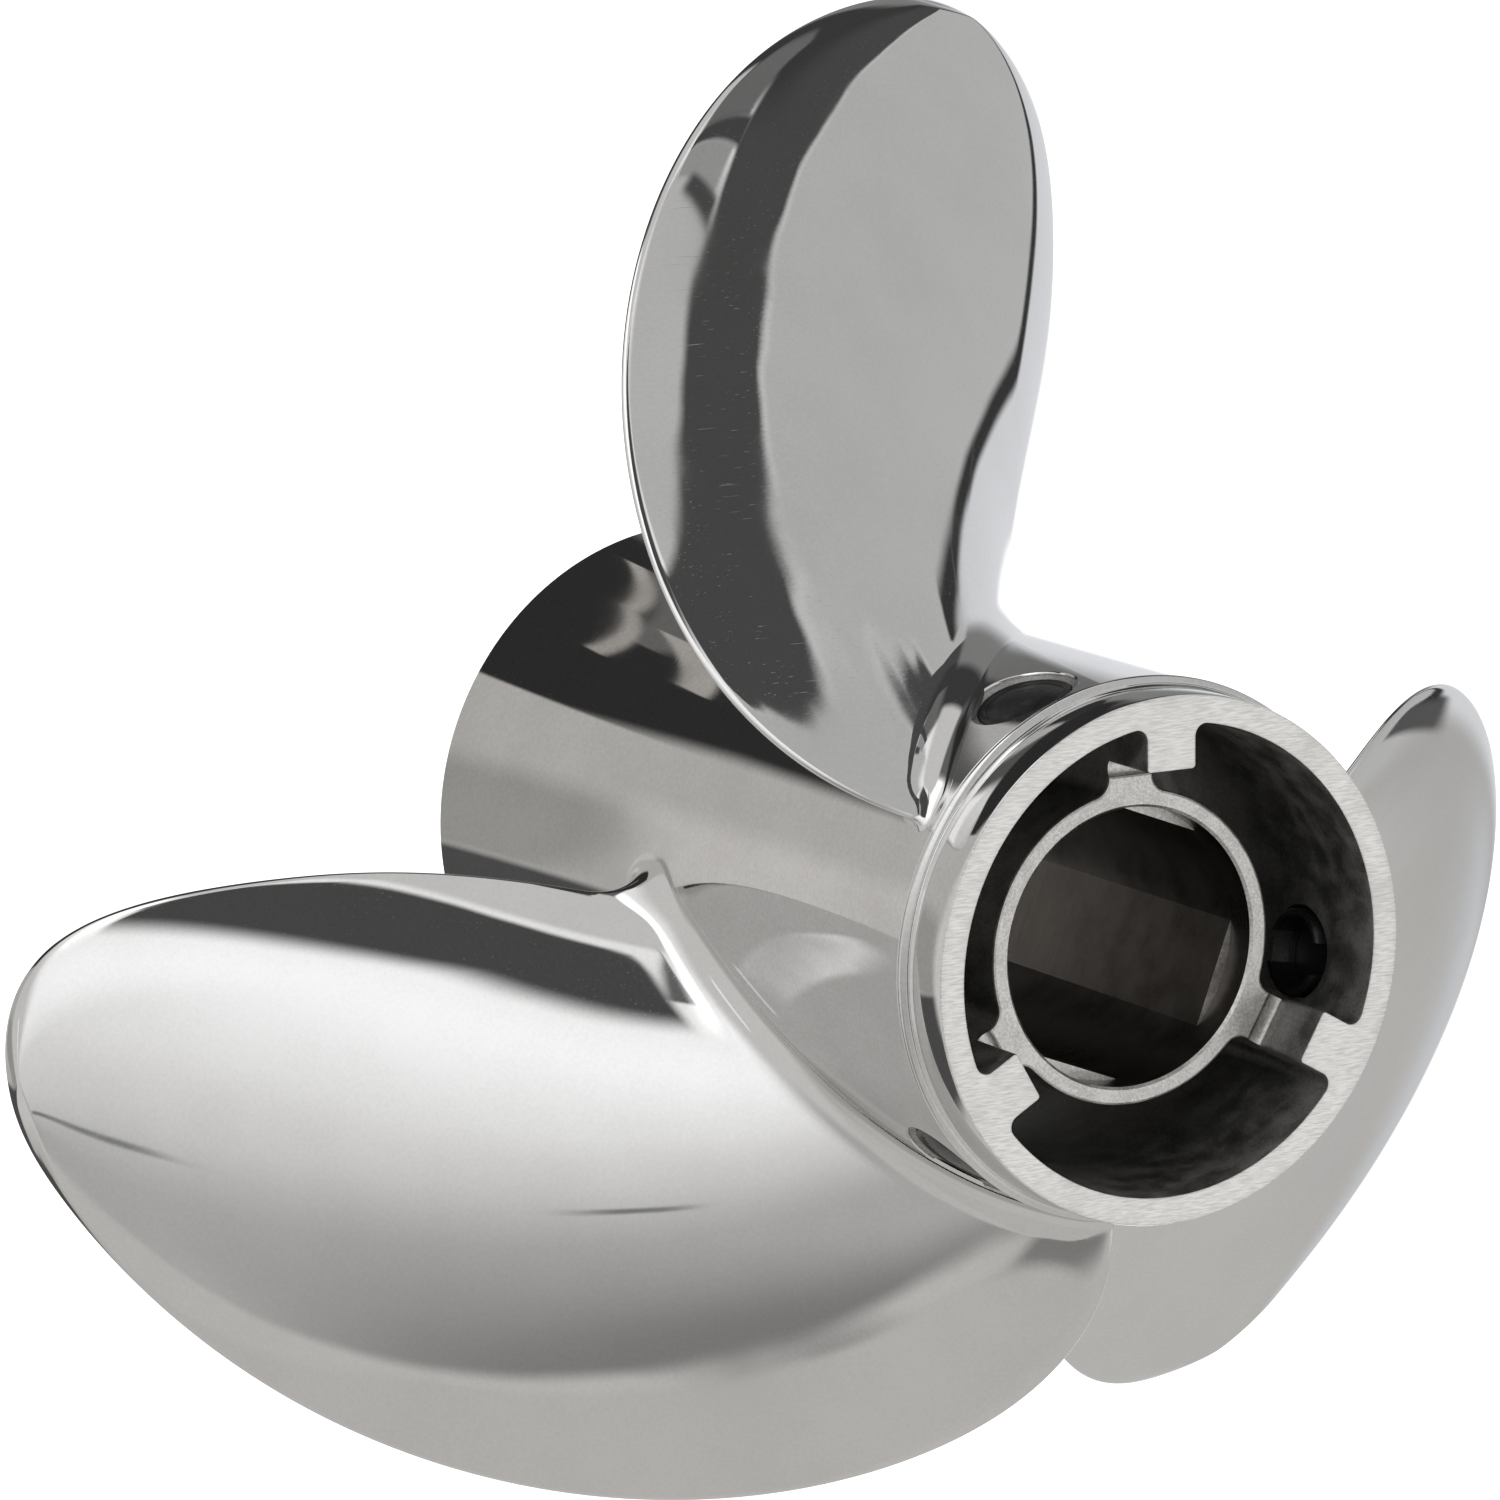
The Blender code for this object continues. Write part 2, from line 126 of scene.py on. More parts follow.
FLARE_FADE = 0.03  # over this height a blade stops following the hub's flare

# ---- finishing sizes
TURN_STEPS, VENT_STEPS, BORE_STEPS = 240, 96, 288
CORNER_STEPS, WEB_FILLET_STEPS = 4, 8
WEB_GAP_STEPS = 64  # steps of the round wall between two webs
FACE_BEVEL = 0.0005
TUBE_BEVEL = FACE_BEVEL * 1.2
BEVEL_MIDDLE = 0.3  # where a bevel's middle ring sits, as a share of the bevel
JOINT_RADIUS = (FACE_RADIUS + PASSAGE_RADIUS) / 2  # where the ring's tongue meets the barrel
LUG_ROOT_FILLET = 0.0026
LUG_CORNER = 0.0009
TONGUE_DEPTH = 0.0169  # the lugs' depth
BOSS_RADIUS = 0.0385  # where the tube's machined front ends on each rib
BOSS_FILLET = 0.0042
RIB_HALF = 0.0056
RIB_DIP = 0.0006  # how far a rib's front is dished
RIB_INSET = 0.003  # the rib ends this far inside the barrel's skin
FOOT_HEIGHT = 0.00005  # the fillet's foot stands this far over the hub
BLEND_HEIGHT = 0.0004  # up to here the fillet's normals lean to the hub's
PLUG_RECESS = 0.0011
LIP_ROUND = 0.0008  # rounding of the hub's rear lip
# the vent's buffed lip, as (radius past the rim, height over the hub)
VENT_LIP = ((-0.0002, -0.0007), (-0.0002, -0.0006), (-0.00005, -0.0004), (0.00015, -0.0002),
            (0.0004, -0.00006), (0.0007, 0.0))
VENT_THROAT = 0.0016  # the vent's straight bore ends this far under the hub's surface
# bright steps and grooves behind the front ring, as (radius past the hub's, depth past the spigot)
SHOULDER = ((-0.0014, 0.0006), (-0.0012, 0.00068), (-0.0011, 0.0008), (-0.0012, 0.00095),
            (-0.0017, 0.0010), (-0.0017, 0.0012), (-0.0012, 0.0013), (-0.0002, 0.00175),
            (0.0001, 0.00195), (0.00025, 0.0022), (0.0003, 0.0025), (0.0003, 0.0029),
            (0.0001, 0.0031), (-0.0006, 0.0032), (-0.0006, 0.0034), (-0.0001, 0.0035),
            (0.0, 0.0037))
SEAM_OVERLAP = 0.0002  # the barrel starts this far in front of the spigot's end
SKIN_START = SPIGOT_DEPTH + 0.0038  # behind this depth the outside is plain hub
SKIN_TOLERANCE = 2e-4
# the plugs: cap, wall of the snap legs, height where they end, slot between them
CAP_THICKNESS = 0.0024
LEG_INSET, LEG_WALL, LEG_END = 0.0007, 0.0016, 0.0500
SLOT_WIDTH = 0.0072
FLOOR_RADIUS = 9.0
FLOOR_GAP = 0.06  # the floor lies this far under the blades
CAMERA_PLACE = (-1.02805, -1.62387, 0.4143)
CAMERA_SIGHT = (0.48552, 0.85383, -0.18774)
CAMERA_ROLL = 0.486
CAMERA_LENS = 217.6
# name, place, size and power of each lamp
LAMPS = (("key", (-1.6, -1.2, 2.2), 1.6, 30.0), ("fill", (1.8, 0.6, 1.8), 1.6, 18.0))


# ---- helpers
def add_object(name, data):
    item = bpy.data.objects.new(name, data)
    bpy.context.scene.collection.objects.link(item)
    return item


def put(name, mesh, looks, nodes, body=BODY):
    """Turn a mesh drawn in the propeller's frame into a piece of the visual model."""
    mesh.transform(TO_ROW)
    mesh.name = name
    piece = add_object(name, mesh)
    for look in looks:
        mesh.materials.append(LOOKS[look])
    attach(piece, body)
    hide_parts(*nodes)
    return piece


def smooth(mesh, angle):
    """Shade smooth, with an edge wherever two faces turn by more than an angle in degrees."""
    mesh.shade_smooth()
    mesh.set_sharp_from_angle(angle=math.radians(angle))


def finish_mesh(body, smooth_angle=30.0, merge=2e-6):
    """Merge doubles, turn the faces outwards and shade them smooth."""
    bmesh.ops.remove_doubles(body, verts=body.verts, dist=merge)
    bmesh.ops.recalc_face_normals(body, faces=body.faces)
    mesh = bpy.data.meshes.new("blank")
    body.to_mesh(mesh)
    body.free()
    smooth(mesh, smooth_angle)
    return mesh


def subtract(target, cutters, smooth_angle):
    """Mesh of an object with others cut out of it; none of these objects stays in the scene."""
    for cutter in cutters:
        modifier = target.modifiers.new("cut", "BOOLEAN")
        modifier.operation = "DIFFERENCE"
        modifier.solver = "EXACT"
        modifier.object = cutter
    bpy.context.view_layer.update()
    graph = bpy.context.evaluated_depsgraph_get()
    cut = bpy.data.meshes.new_from_object(target.evaluated_get(graph))
    for item in (target, *cutters):
        bpy.data.objects.remove(item, do_unlink=True)
    smooth(cut, smooth_angle)
    return cut


def polar(radius, angle):
    return radius * math.cos(angle), radius * math.sin(angle)


def circle(radius, steps=TURN_STEPS):
    return [polar(radius, 2 * math.pi * i / steps) for i in range(steps)]


def loop_at(body, outline, depth):
    return [body.verts.new((x, y, -depth)) for x, y in outline]


def join_loops(body, one, two):
    count = len(one)
    for i in range(count):
        j = (i + 1) % count
        if (one[i].co - two[i].co).length < 1e-7 and (one[j].co - two[j].co).length < 1e-7:
            continue
        body.faces.new((one[i], one[j], two[j], two[i]))


def stack(body, *levels):
    """Walls through outlines at their depths; returns the first and the last loop."""
    loops = [loop_at(body, outline, depth) for outline, depth in levels]
    for one, two in zip(loops, loops[1:]):
        join_loops(body, one, two)
    return loops[0], loops[-1]


def revolve(body, profile, steps=TURN_STEPS, close=True):
    """Sweep (radius, depth) points round the hub's axis."""
    first, last = stack(body, *((circle(radius, steps), depth) for radius, depth in profile))
    if close:
        join_loops(body, last, first)


def hub_radius(depth):
    run = max(0.0, depth - FLARE_START) / (HUB_LENGTH - FLARE_START)
    return HUB_RADIUS + FLARE * run ** FLARE_POWER


def hub_slope(depth):
    step = 1e-5
    return (hub_radius(depth + step) - hub_radius(depth - step)) / (2 * step)


def hub_normal(place):
    out = Vector((place.x, place.y, 0.0)).normalized()
    return (out + Vector((0.0, 0.0, hub_slope(-place.z)))).normalized()


def passage_radius(depth):
    thin = min(1.0, max(0.0, (depth - WALL_START) / (WALL_END - WALL_START)))
    lip = min(1.0, max(0.0, (depth - WALL_END) / (HUB_LENGTH - WALL_END)))
    wall = (HUB_RADIUS - PASSAGE_RADIUS) * (1 - thin) + WALL * thin + (LIP_WALL - WALL) * lip
    return hub_radius(depth) - wall


def spread(start, end, count):
    return [start + (end - start) * i / count for i in range(count + 1)]


# ---- flat outlines
def turn_point(point, angle):
    x, y = point
    c, s = math.cos(angle), math.sin(angle)
    return (x * c - y * s, x * s + y * c)


def fillet_between(previous, corner, following, radius, steps):
    """Round the corner between two straight runs."""
    a = (Vector(previous) - Vector(corner)).normalized()
    b = (Vector(following) - Vector(corner)).normalized()
    half = math.acos(max(-1.0, min(1.0, a.dot(b)))) / 2
    reach = radius / math.tan(half)
    centre = Vector(corner) + (a + b).normalized() * (radius / math.sin(half))
    start = Vector(corner) + a * reach - centre
    end = Vector(corner) + b * reach - centre
    return [tuple(centre + start.slerp(end, share).normalized() * radius)
            for share in spread(0, 1, steps)]


def web_profile(half, from_radius, to_radius, fillet, sign):
    """Side of a web that leaves a circle with a concave fillet, as points about +X.

    sign +1: the web runs outwards from a tube of from_radius; -1: inwards from a wall."""
    centre_y = half + fillet
    reach = from_radius + sign * fillet
    centre_x = math.sqrt(reach * reach - centre_y * centre_y)
    touch = math.atan2(centre_y, centre_x)
    start, end = (math.pi + touch, 3 * math.pi / 2) if sign > 0 else (touch, -math.pi / 2)
    points = [(centre_x + fillet * math.cos(a), centre_y + fillet * math.sin(a))
              for a in spread(start, end, WEB_FILLET_STEPS)]
    return points + [(to_radius, half)], touch


def ring_with_webs(radius, half, to_radius, fillet, corner, sign):
    """Closed outline, anticlockwise: a circle with a web at each rib angle."""
    side, touch = web_profile(half, radius, to_radius, fillet, sign)
    lower = [(x, -y) for x, y in side[:-1]]
    web = lower + web_end(to_radius, half, corner) + side[-2::-1]
    outline = []
    for k in range(SECTORS):
        centre = RIB_ANGLE + k * SECTOR
        outline += [turn_point(p, centre) for p in web]
        gap = spread(centre + touch, centre + SECTOR - touch, WEB_GAP_STEPS)
        outline += [polar(radius, a) for a in gap[1:-1]]
    return outline


def web_end(to_radius, half, corner):
    """End of a web, from its -y corner to its +y corner; only a lug's inner end has a radius."""
    low, high = (to_radius, -half), (to_radius, half)
    if corner <= 0:
        return [low, high]
    first = fillet_between((PASSAGE_RADIUS, -half), low, high, corner, CORNER_STEPS)
    return first + fillet_between(low, high, (PASSAGE_RADIUS, half), corner, CORNER_STEPS)


def offset(outline, distance):
    """Move a closed anticlockwise outline outwards (to the right of its run)."""
    points = [Vector(p) for p in outline]
    count = len(points)
    moved = []
    for i, p in enumerate(points):
        before = (p - points[i - 1]).normalized()
        after = (points[(i + 1) % count] - p).normalized()
        n1 = Vector((before.y, -before.x))
        n2 = Vector((after.y, -after.x))
        n = (n1 + n2).normalized()
        moved.append(tuple(p + n * (distance / max(0.5, n.dot(n1)))))
    return moved


def fill_between(body, outer, inner):
    """Flat face between two closed loops."""
    edges = []
    for loop in (outer, inner):
        for i in range(len(loop)):
            pair = (loop[i], loop[(i + 1) % len(loop)])
            edges.append(body.edges.get(pair) or body.edges.new(pair))
    bmesh.ops.triangle_fill(body, use_beauty=True, use_dissolve=False, edges=edges,
                            normal=(0.0, 0.0, 1.0))


# ---- hub pieces
def collar():
    """Front ring with its three lugs, bevelled round every edge."""
    body = bmesh.new()
    inner = ring_with_webs(PASSAGE_RADIUS, LUG_WIDTH / 2, LUG_INNER, LUG_ROOT_FILLET,
                           LUG_CORNER, -1)
    outer, joint = circle(FACE_RADIUS), circle(JOINT_RADIUS)
    middle = FACE_BEVEL * BEVEL_MIDDLE
    face_in, wall_end = stack(
        body, (offset(inner, FACE_BEVEL), 0.0), (offset(inner, middle), middle),
        (inner, FACE_BEVEL), (inner, TONGUE_DEPTH))
    tongue, face_out = stack(
        body, (joint, TONGUE_DEPTH), (joint, SPIGOT_DEPTH), (outer, SPIGOT_DEPTH),
        (outer, FACE_BEVEL), (circle(FACE_RADIUS - middle), middle),
        (circle(FACE_RADIUS - FACE_BEVEL), 0.0))
    fill_between(body, face_out, face_in)
    fill_between(body, tongue, wall_end)
    mesh = finish_mesh(body, 25.0)
    for face in mesh.polygons:
        if abs(face.normal.z) < 0.5:
            face.material_index = 1 if face.center.xy.length > JOINT_RADIUS else 2
    nodes = ["front_collar"] + [f"lug_{k + 1}" for k in range(SECTORS)]
    put("front_ring", mesh, ["machined", "hub", "cast"], nodes)


def shoulder_profile():
    """Two bright steps with a groove between them, then the barrel's own groove."""
    start = [(FACE_RADIUS, SPIGOT_DEPTH - SEAM_OVERLAP), (FACE_RADIUS + 0.0001, SPIGOT_DEPTH)]
    return start + [(HUB_RADIUS + out, SPIGOT_DEPTH + run) for out, run in SHOULDER]


def barrel():
    """Outer hub from the bead to the diffuser, with the vent holes cut through it."""
    body = bmesh.new()
    profile = shoulder_profile()
    skin_start = profile[-1][1]
    profile += [(hub_radius(d), d) for d in spread(skin_start, DIFFUSER_DEPTH, 48)[1:]]
    profile += [(passage_radius(d), d) for d in spread(DIFFUSER_DEPTH, TONGUE_DEPTH, 40)]
    profile += [(JOINT_RADIUS, TONGUE_DEPTH), (JOINT_RADIUS, SPIGOT_DEPTH - SEAM_OVERLAP)]
    revolve(body, profile)
    holder = add_object("barrel_blank", finish_mesh(body, 25.0))
    cut = subtract(holder, [vent_cutter(k) for k in range(SECTORS)], 25.0)
    true_normals(cut)
    line_walls(cut)
    darken_vents(cut)
    put("hub_skin", cut, ["hub", "cast"], ["hub_barrel"])


def vent_cutter(index):
    """Cutter for a vent hole: straight bore with a rounded, bevelled mouth."""
    below, above = 0.006, 0.003
    body = bmesh.new()
    profile = [(0.0, PASSAGE_RADIUS - below), (VENT_RADIUS, PASSAGE_RADIUS - below),
               (VENT_RADIUS, HUB_RADIUS - VENT_THROAT)]
    profile += [(VENT_RIM_RADIUS + x, HUB_RADIUS + y) for x, y in VENT_LIP]
    profile += [(VENT_RIM_RADIUS + 0.0012, HUB_RADIUS + above), (0.0, HUB_RADIUS + above)]
    revolve(body, [(r, -h) for r, h in profile], steps=VENT_STEPS, close=False)
    follow_hub(body, PASSAGE_RADIUS)
    mesh = finish_mesh(body)
    mesh.transform(vent_matrix(index))
    return add_object("vent_cutter", mesh)


def follow_hub(body, start):
    """Bend everything above a height down over the round hub, in the vent's frame."""
    for vert in body.verts:
        if vert.co.z > start:
            vert.co.z -= HUB_RADIUS - math.sqrt(HUB_RADIUS ** 2 - vert.co.y ** 2)


def vent_matrix(index):
    """From a frame whose z axis is the vent's to the propeller's frame."""
    place = Matrix.Translation((0.0, 0.0, -VENT_DEPTH))
    turned = Matrix.Rotation(VENT_ANGLE + index * SECTOR, 4, "Z")
    return turned @ place @ Matrix.Rotation(math.pi / 2, 4, "Y")


def true_normals(mesh):
    """Give the turned outer skin its exact normals, which cutting has disturbed."""
    corner = [n.vector.copy() for n in mesh.corner_normals]
    for face in mesh.polygons:
        depth = -face.center.z
        radial = Vector((face.center.x, face.center.y, 0.0))
        radius = radial.length
        on_skin = depth >= SKIN_START and abs(radius - hub_radius(depth)) <= SKIN_TOLERANCE
        if not on_skin or face.normal.dot(radial) < 0.9 * radius:
            continue
        for loop in face.loop_indices:
            corner[loop] = hub_normal(mesh.vertices[mesh.loops[loop].vertex_index].co)
    mesh.normals_split_custom_set(corner)


def darken_vents(mesh):
    """The vents' walls and bevels keep the cast look; only the lip is buffed."""
    for index in range(SECTORS):
        inverse = vent_matrix(index).inverted()
        for face in mesh.polygons:
            place = inverse @ face.center
            if place.z > 0 and place.xy.length < VENT_RIM_RADIUS - 0.0001:
                face.material_index = 1


def line_walls(mesh):
    """Give faces inside the hub the second look: they are left as cast."""
    for face in mesh.polygons:
        depth = -face.center.z
        inside = face.center.xy.length < hub_radius(depth) - LIP_WALL * 0.8
        if inside and abs(face.normal.z) < 0.7 and depth > SPIGOT_DEPTH:
            face.material_index = 1


def diffuser():
    """Flared rear of the hub, with a rounded lip."""
    body = bmesh.new()
    end, lip, half = HUB_LENGTH, LIP_ROUND, LIP_ROUND * 0.5
    outer, inner = hub_radius(end) - lip, passage_radius(end) + half
    profile = [(hub_radius(d), d) for d in spread(DIFFUSER_DEPTH, end - lip, 16)]
    profile += [(outer + lip * math.cos(a), end - lip + lip * math.sin(a))
                for a in spread(0.3, math.pi / 2, 5)]
    profile += [(inner - half * math.sin(a), end - half + half * math.cos(a))
                for a in spread(0.0, math.pi / 2, 4)]
    profile += [(passage_radius(d), d) for d in spread(end - lip, DIFFUSER_DEPTH, 12)[1:]]
    revolve(body, profile)
    mesh = finish_mesh(body, 25.0)
    true_normals(mesh)
    line_walls(mesh)
    put("diffuser_skin", mesh, ["hub", "cast"], ["diffuser_ring"])


def bore_radius(angle):
    """Radius of the drive bore: four flats whose corners are cut by the round bore."""
    quarter = math.pi / 2
    off = (angle - FLAT_ANGLE + quarter / 2) % quarter - quarter / 2
    return min(BORE_RADIUS, FLAT_DISTANCE / math.cos(off))


def tube():
    """Inner tube: machined front with a boss at each rib, counterbore, drive bore."""
    body = bmesh.new()
    front = ring_with_webs(TUBE_RADIUS, RIB_HALF, BOSS_RADIUS, BOSS_FILLET, 0.0, +1)
    middle = TUBE_BEVEL * BEVEL_MIDDLE
    wider = 1 + TUBE_BEVEL / BORE_RADIUS
    counterbore = TUBE_FRONT + COUNTERBORE_DEPTH
    phase = FLAT_ANGLE + math.acos(FLAT_DISTANCE / BORE_RADIUS)
    angles = [phase + 2 * math.pi * i / BORE_STEPS for i in range(BORE_STEPS)]
    bore = [polar(BORE_RADIUS, a) for a in angles]
    drive = [polar(bore_radius(a), a) for a in angles]
    outer_end, outer_front = stack(
        body, (front, RIB_END), (front, TUBE_FRONT + TUBE_BEVEL),
        (offset(front, -middle), TUBE_FRONT + middle), (offset(front, -TUBE_BEVEL), TUBE_FRONT))
    rear = circle(TUBE_RADIUS)
    round_end, round_top = stack(body, (rear, TUBE_END), (rear, RIB_END))
    inner_front, drive_end = stack(
        body, ([(x * wider, y * wider) for x, y in bore], TUBE_FRONT),
        (bore, TUBE_FRONT + TUBE_BEVEL), (bore, counterbore), (drive, counterbore),
        (drive, TUBE_END))
    fill_between(body, outer_front, inner_front)
    fill_between(body, outer_end, round_top)
    fill_between(body, round_end, drive_end)
    mesh = finish_mesh(body, 20.0)
    for face in mesh.polygons:
        if abs(face.normal.z) < 0.3:
            in_bore = face.center.xy.length < (BORE_RADIUS + TUBE_RADIUS) / 2
            face.material_index = 1 if in_bore else 2
    put("drive_tube", mesh, ["tube", "bore", "cast"], ["hub_tube"])


def rib(index):
    """Web from the tube's boss to the barrel, dished in front between boss and lug."""
    root = LUG_INNER + 0.002
    side, _ = web_profile(RIB_HALF, PASSAGE_RADIUS, BOSS_RADIUS, LUG_ROOT_FILLET, -1)
    stations = [(x, RIB_HALF) for x in spread(BOSS_RADIUS, root, 14)]
    stations += sorted((x, y) for x, y in side[:-1] if x > root)
    stations.append((HUB_RADIUS - RIB_INSET, stations[-1][1]))
    body = bmesh.new()
    rows = []
    for x, half in stations:
        along = (x - BOSS_RADIUS) / (LUG_INNER - BOSS_RADIUS)
        front = TUBE_FRONT + RIB_DIP * math.sin(math.pi * min(1.0, max(0.0, along))) ** 0.6
        rows.append([body.verts.new((x, y, -depth)) for y, depth in
                     ((-half, front), (half, front), (half, RIB_END), (-half, RIB_END))])
    for one, two in zip(rows, rows[1:]):
        join_loops(body, one, two)
    body.faces.new(rows[0])
    body.faces.new(rows[-1])
    mesh = finish_mesh(body, 40.0)
    for face in mesh.polygons:
        if face.normal.z > 0.5:
            face.material_index = 1
    mesh.transform(Matrix.Rotation(RIB_ANGLE + index * SECTOR, 4, "Z"))
    put(f"rib_web_{index + 1}", mesh, ["cast", "tube"], [f"rib_{index + 1}"])


# ---- vent plugs
def plug(index):
    """Moulded snap-in plug: recessed dome, rolled rim, two legs."""
    body = bmesh.new()
    top = HUB_RADIUS - PLUG_RECESS
    rim = VENT_RADIUS - 0.00015
    cap = top - CAP_THICKNESS
    leg = rim - LEG_INSET
    profile = [(0.0, top + 0.0002), (rim * 0.45, top + 0.0001), (rim * 0.74, top - 0.0002),
               (rim * 0.80, top - 0.0005), (rim * 0.84, top - 0.0005), (rim * 0.88, top - 0.0001),
               (rim * 0.94, top), (rim - 0.0002, top - 0.0001), (rim, top - 0.0004), (rim, cap),
               (leg, cap - 0.0001), (leg, LEG_END + 0.0006), (leg - 0.0005, LEG_END),
               (leg - 0.0015, LEG_END), (leg - LEG_WALL, cap), (0.0, cap)]
    revolve(body, [(r, -h) for r, h in profile], steps=VENT_STEPS, close=False)
    follow_hub(body, cap + 0.0001)
    holder = add_object("plug_blank", finish_mesh(body))
    slot = bmesh.new()
    bmesh.ops.create_cube(slot, size=1.0)
    bmesh.ops.scale(slot, vec=(0.04, SLOT_WIDTH, cap - LEG_END + 0.002), verts=slot.verts)
    bmesh.ops.translate(slot, vec=(0.0, 0.0, (cap + LEG_END) / 2 - 0.0012), verts=slot.verts)
    cut = subtract(holder, [add_object("slot", finish_mesh(slot))], 30.0)
    cut.transform(vent_matrix(index))
    name = f"vent_plug_{index + 1}"
    put(f"vent_cap_{index + 1}", cut, ["plastic"], [name], body=name)


# ---- blades
def spline(controls, positions):
    """Points of a clamped cubic B-spline at positions from 0 to 1, as an array."""
    controls = np.array(controls, float)
    degree = 3
    spans = len(controls) - degree
    knots = np.concatenate([np.zeros(degree), np.linspace(0, 1, spans + 1), np.ones(degree)])
    result = []
    for position in np.atleast_1d(positions):
        span = min(int(position * spans), spans - 1) + degree
        points = [controls[span - degree + i].copy() for i in range(degree + 1)]
        for level in range(1, degree + 1):
            for i in range(degree, level - 1, -1):
                low = knots[span - degree + i]
                high = knots[span + 1 + i - level]
                blend = (position - low) / (high - low)
                points[i] = points[i - 1] * (1 - blend) + points[i] * blend
        result.append(points[degree])
    return np.array(result)


OUTLINE_STEPS = 1600
OUTLINE_POINTS = spline(OUTLINE, np.linspace(0, 1, OUTLINE_STEPS + 1))
TIP_INDEX = int(OUTLINE_POINTS[:, 0].argmax())
TIP_RADIUS = float(OUTLINE_POINTS[TIP_INDEX, 0])


def edge_angles(radius):
    """Leading and trailing edge angles of the outline at a radius, in radians."""
    lead = OUTLINE_POINTS[:TIP_INDEX + 1]
    trail = OUTLINE_POINTS[TIP_INDEX:][::-1]
    return (math.radians(np.interp(radius, lead[:, 0], lead[:, 1])),
            math.radians(np.interp(radius, trail[:, 0], trail[:, 1])))


def blade_z(radius, angle):
    """Height of the blade's mid surface: a helix with rake."""
    out = radius - REFERENCE_RADIUS
    helix = PITCH / (2 * np.pi) * (angle - REFERENCE_ANGLE) - BLADE_DEPTH
    return helix - RAKE * out - RAKE_CURVE * out * out


def mid_surface(radius, angle):
    z = blade_z(radius, angle)
    return np.stack([radius * np.cos(angle), radius * np.sin(angle), z], axis=1)


def edge_distance(radius, angle):
    """Shortest distance from points of the mid surface to the blade's outline."""
    outside = OUTLINE_POINTS[OUTLINE_POINTS[:, 0] > HUB_RADIUS * 0.98]
    edge = mid_surface(outside[:, 0], np.radians(outside[:, 1]))
    here = mid_surface(radius, angle)
    run = edge[1:] - edge[:-1]
    away = here[:, None, :] - edge[None, :-1, :]
    share = np.clip((away * run).sum(axis=2) / (run * run).sum(axis=1), 0.0, 1.0)
    return np.sqrt(((away - run * share[:, :, None]) ** 2).sum(axis=2).min(axis=1))


def fillet_width(size, height):
    """Width that a round fillet still has at a height over its foot."""
    short = np.clip(size - height, 0.0, None)
    return size - np.sqrt(np.clip(size * size - short * short, 0.0, None))


CHORD_STEPS = 96
EDGE_STEPS = 10
EDGE_ROUND = 0.6  # length of an edge's rounding over its thickness
ROW_STEPS = 96


def section(height):
    """Closed section at a height over the hub, as rows of (angle, z)."""
    radius = HUB_RADIUS + max(0.0, height)
    leading, trailing = edge_angles(radius)
    span = min(1.0, (radius - HUB_RADIUS) / (TIP_RADIUS - HUB_RADIUS))
    thickness = ROOT_THICKNESS + (TIP_THICKNESS - ROOT_THICKNESS) * span ** THICKNESS_POWER
    scale = min(1.0, radius * (leading - trailing) / THIN_CHORD)
    slope = PITCH / (2 * math.pi)
    size = math.hypot(slope, radius)
    across = np.array([-slope, radius]) / size
    chord = chord_stations((leading - trailing) * size)
    angle = leading + (trailing - leading) * chord
    middle = np.stack([radius * angle, blade_z(radius, angle)], axis=1)
    middle += across * (camber(chord) * scale)[:, None]
    distance = edge_distance(np.full(len(angle), radius), angle)
    edge = LEADING_EDGE + (TRAILING_EDGE - LEADING_EDGE) * chord
    rounded = np.clip(1 - distance / (edge * EDGE_ROUND), 0.0, 1.0)
    half = edge / 2 * np.sqrt(1 - rounded * rounded)
    swell = np.clip(thickness * scale - edge, 0.0, None) * (4 * chord * (1 - chord)) ** SWELL_POWER
    front = middle + across * (half + swell)[:, None]
    back = middle - across * half[:, None]
    loop = np.concatenate([front, back[-2:0:-1]])
    along = np.concatenate([chord, chord[-2:0:-1]])
    if height < TAIL_FILLET:
        loop = flare(loop, along, height)
    return np.stack([loop[:, 0] / radius, loop[:, 1]], axis=1)


def chord_stations(length):
    """Stations along a chord: even turns round both rounded edges, a smooth run between."""
    turn = 1 - np.cos(np.linspace(0, np.pi / 2, EDGE_STEPS + 1))
    nose = turn * min(0.2, LEADING_EDGE * EDGE_ROUND / length)
    tail = 1 - turn[::-1] * min(0.2, TRAILING_EDGE * EDGE_ROUND / length)
    steps = np.linspace(0, 1, CHORD_STEPS - 2 * EDGE_STEPS + 1)[1:-1]
    smooth = 0.5 * steps + 0.5 * (3 * steps ** 2 - 2 * steps ** 3)
    return np.concatenate([nose, nose[-1] + (tail[0] - nose[-1]) * smooth, tail])


def camber(chord):
    """Rise of the mid surface along a chord, with a cup before the trailing edge."""
    rise = CAMBER * np.sin(np.pi / 2 * np.clip(chord / CUP_START, 0, 1))
    cup = CAMBER * (1 - ((chord - CUP_START) / (1 - CUP_START)) ** 2)
    return np.where(chord < CUP_START, rise, cup)


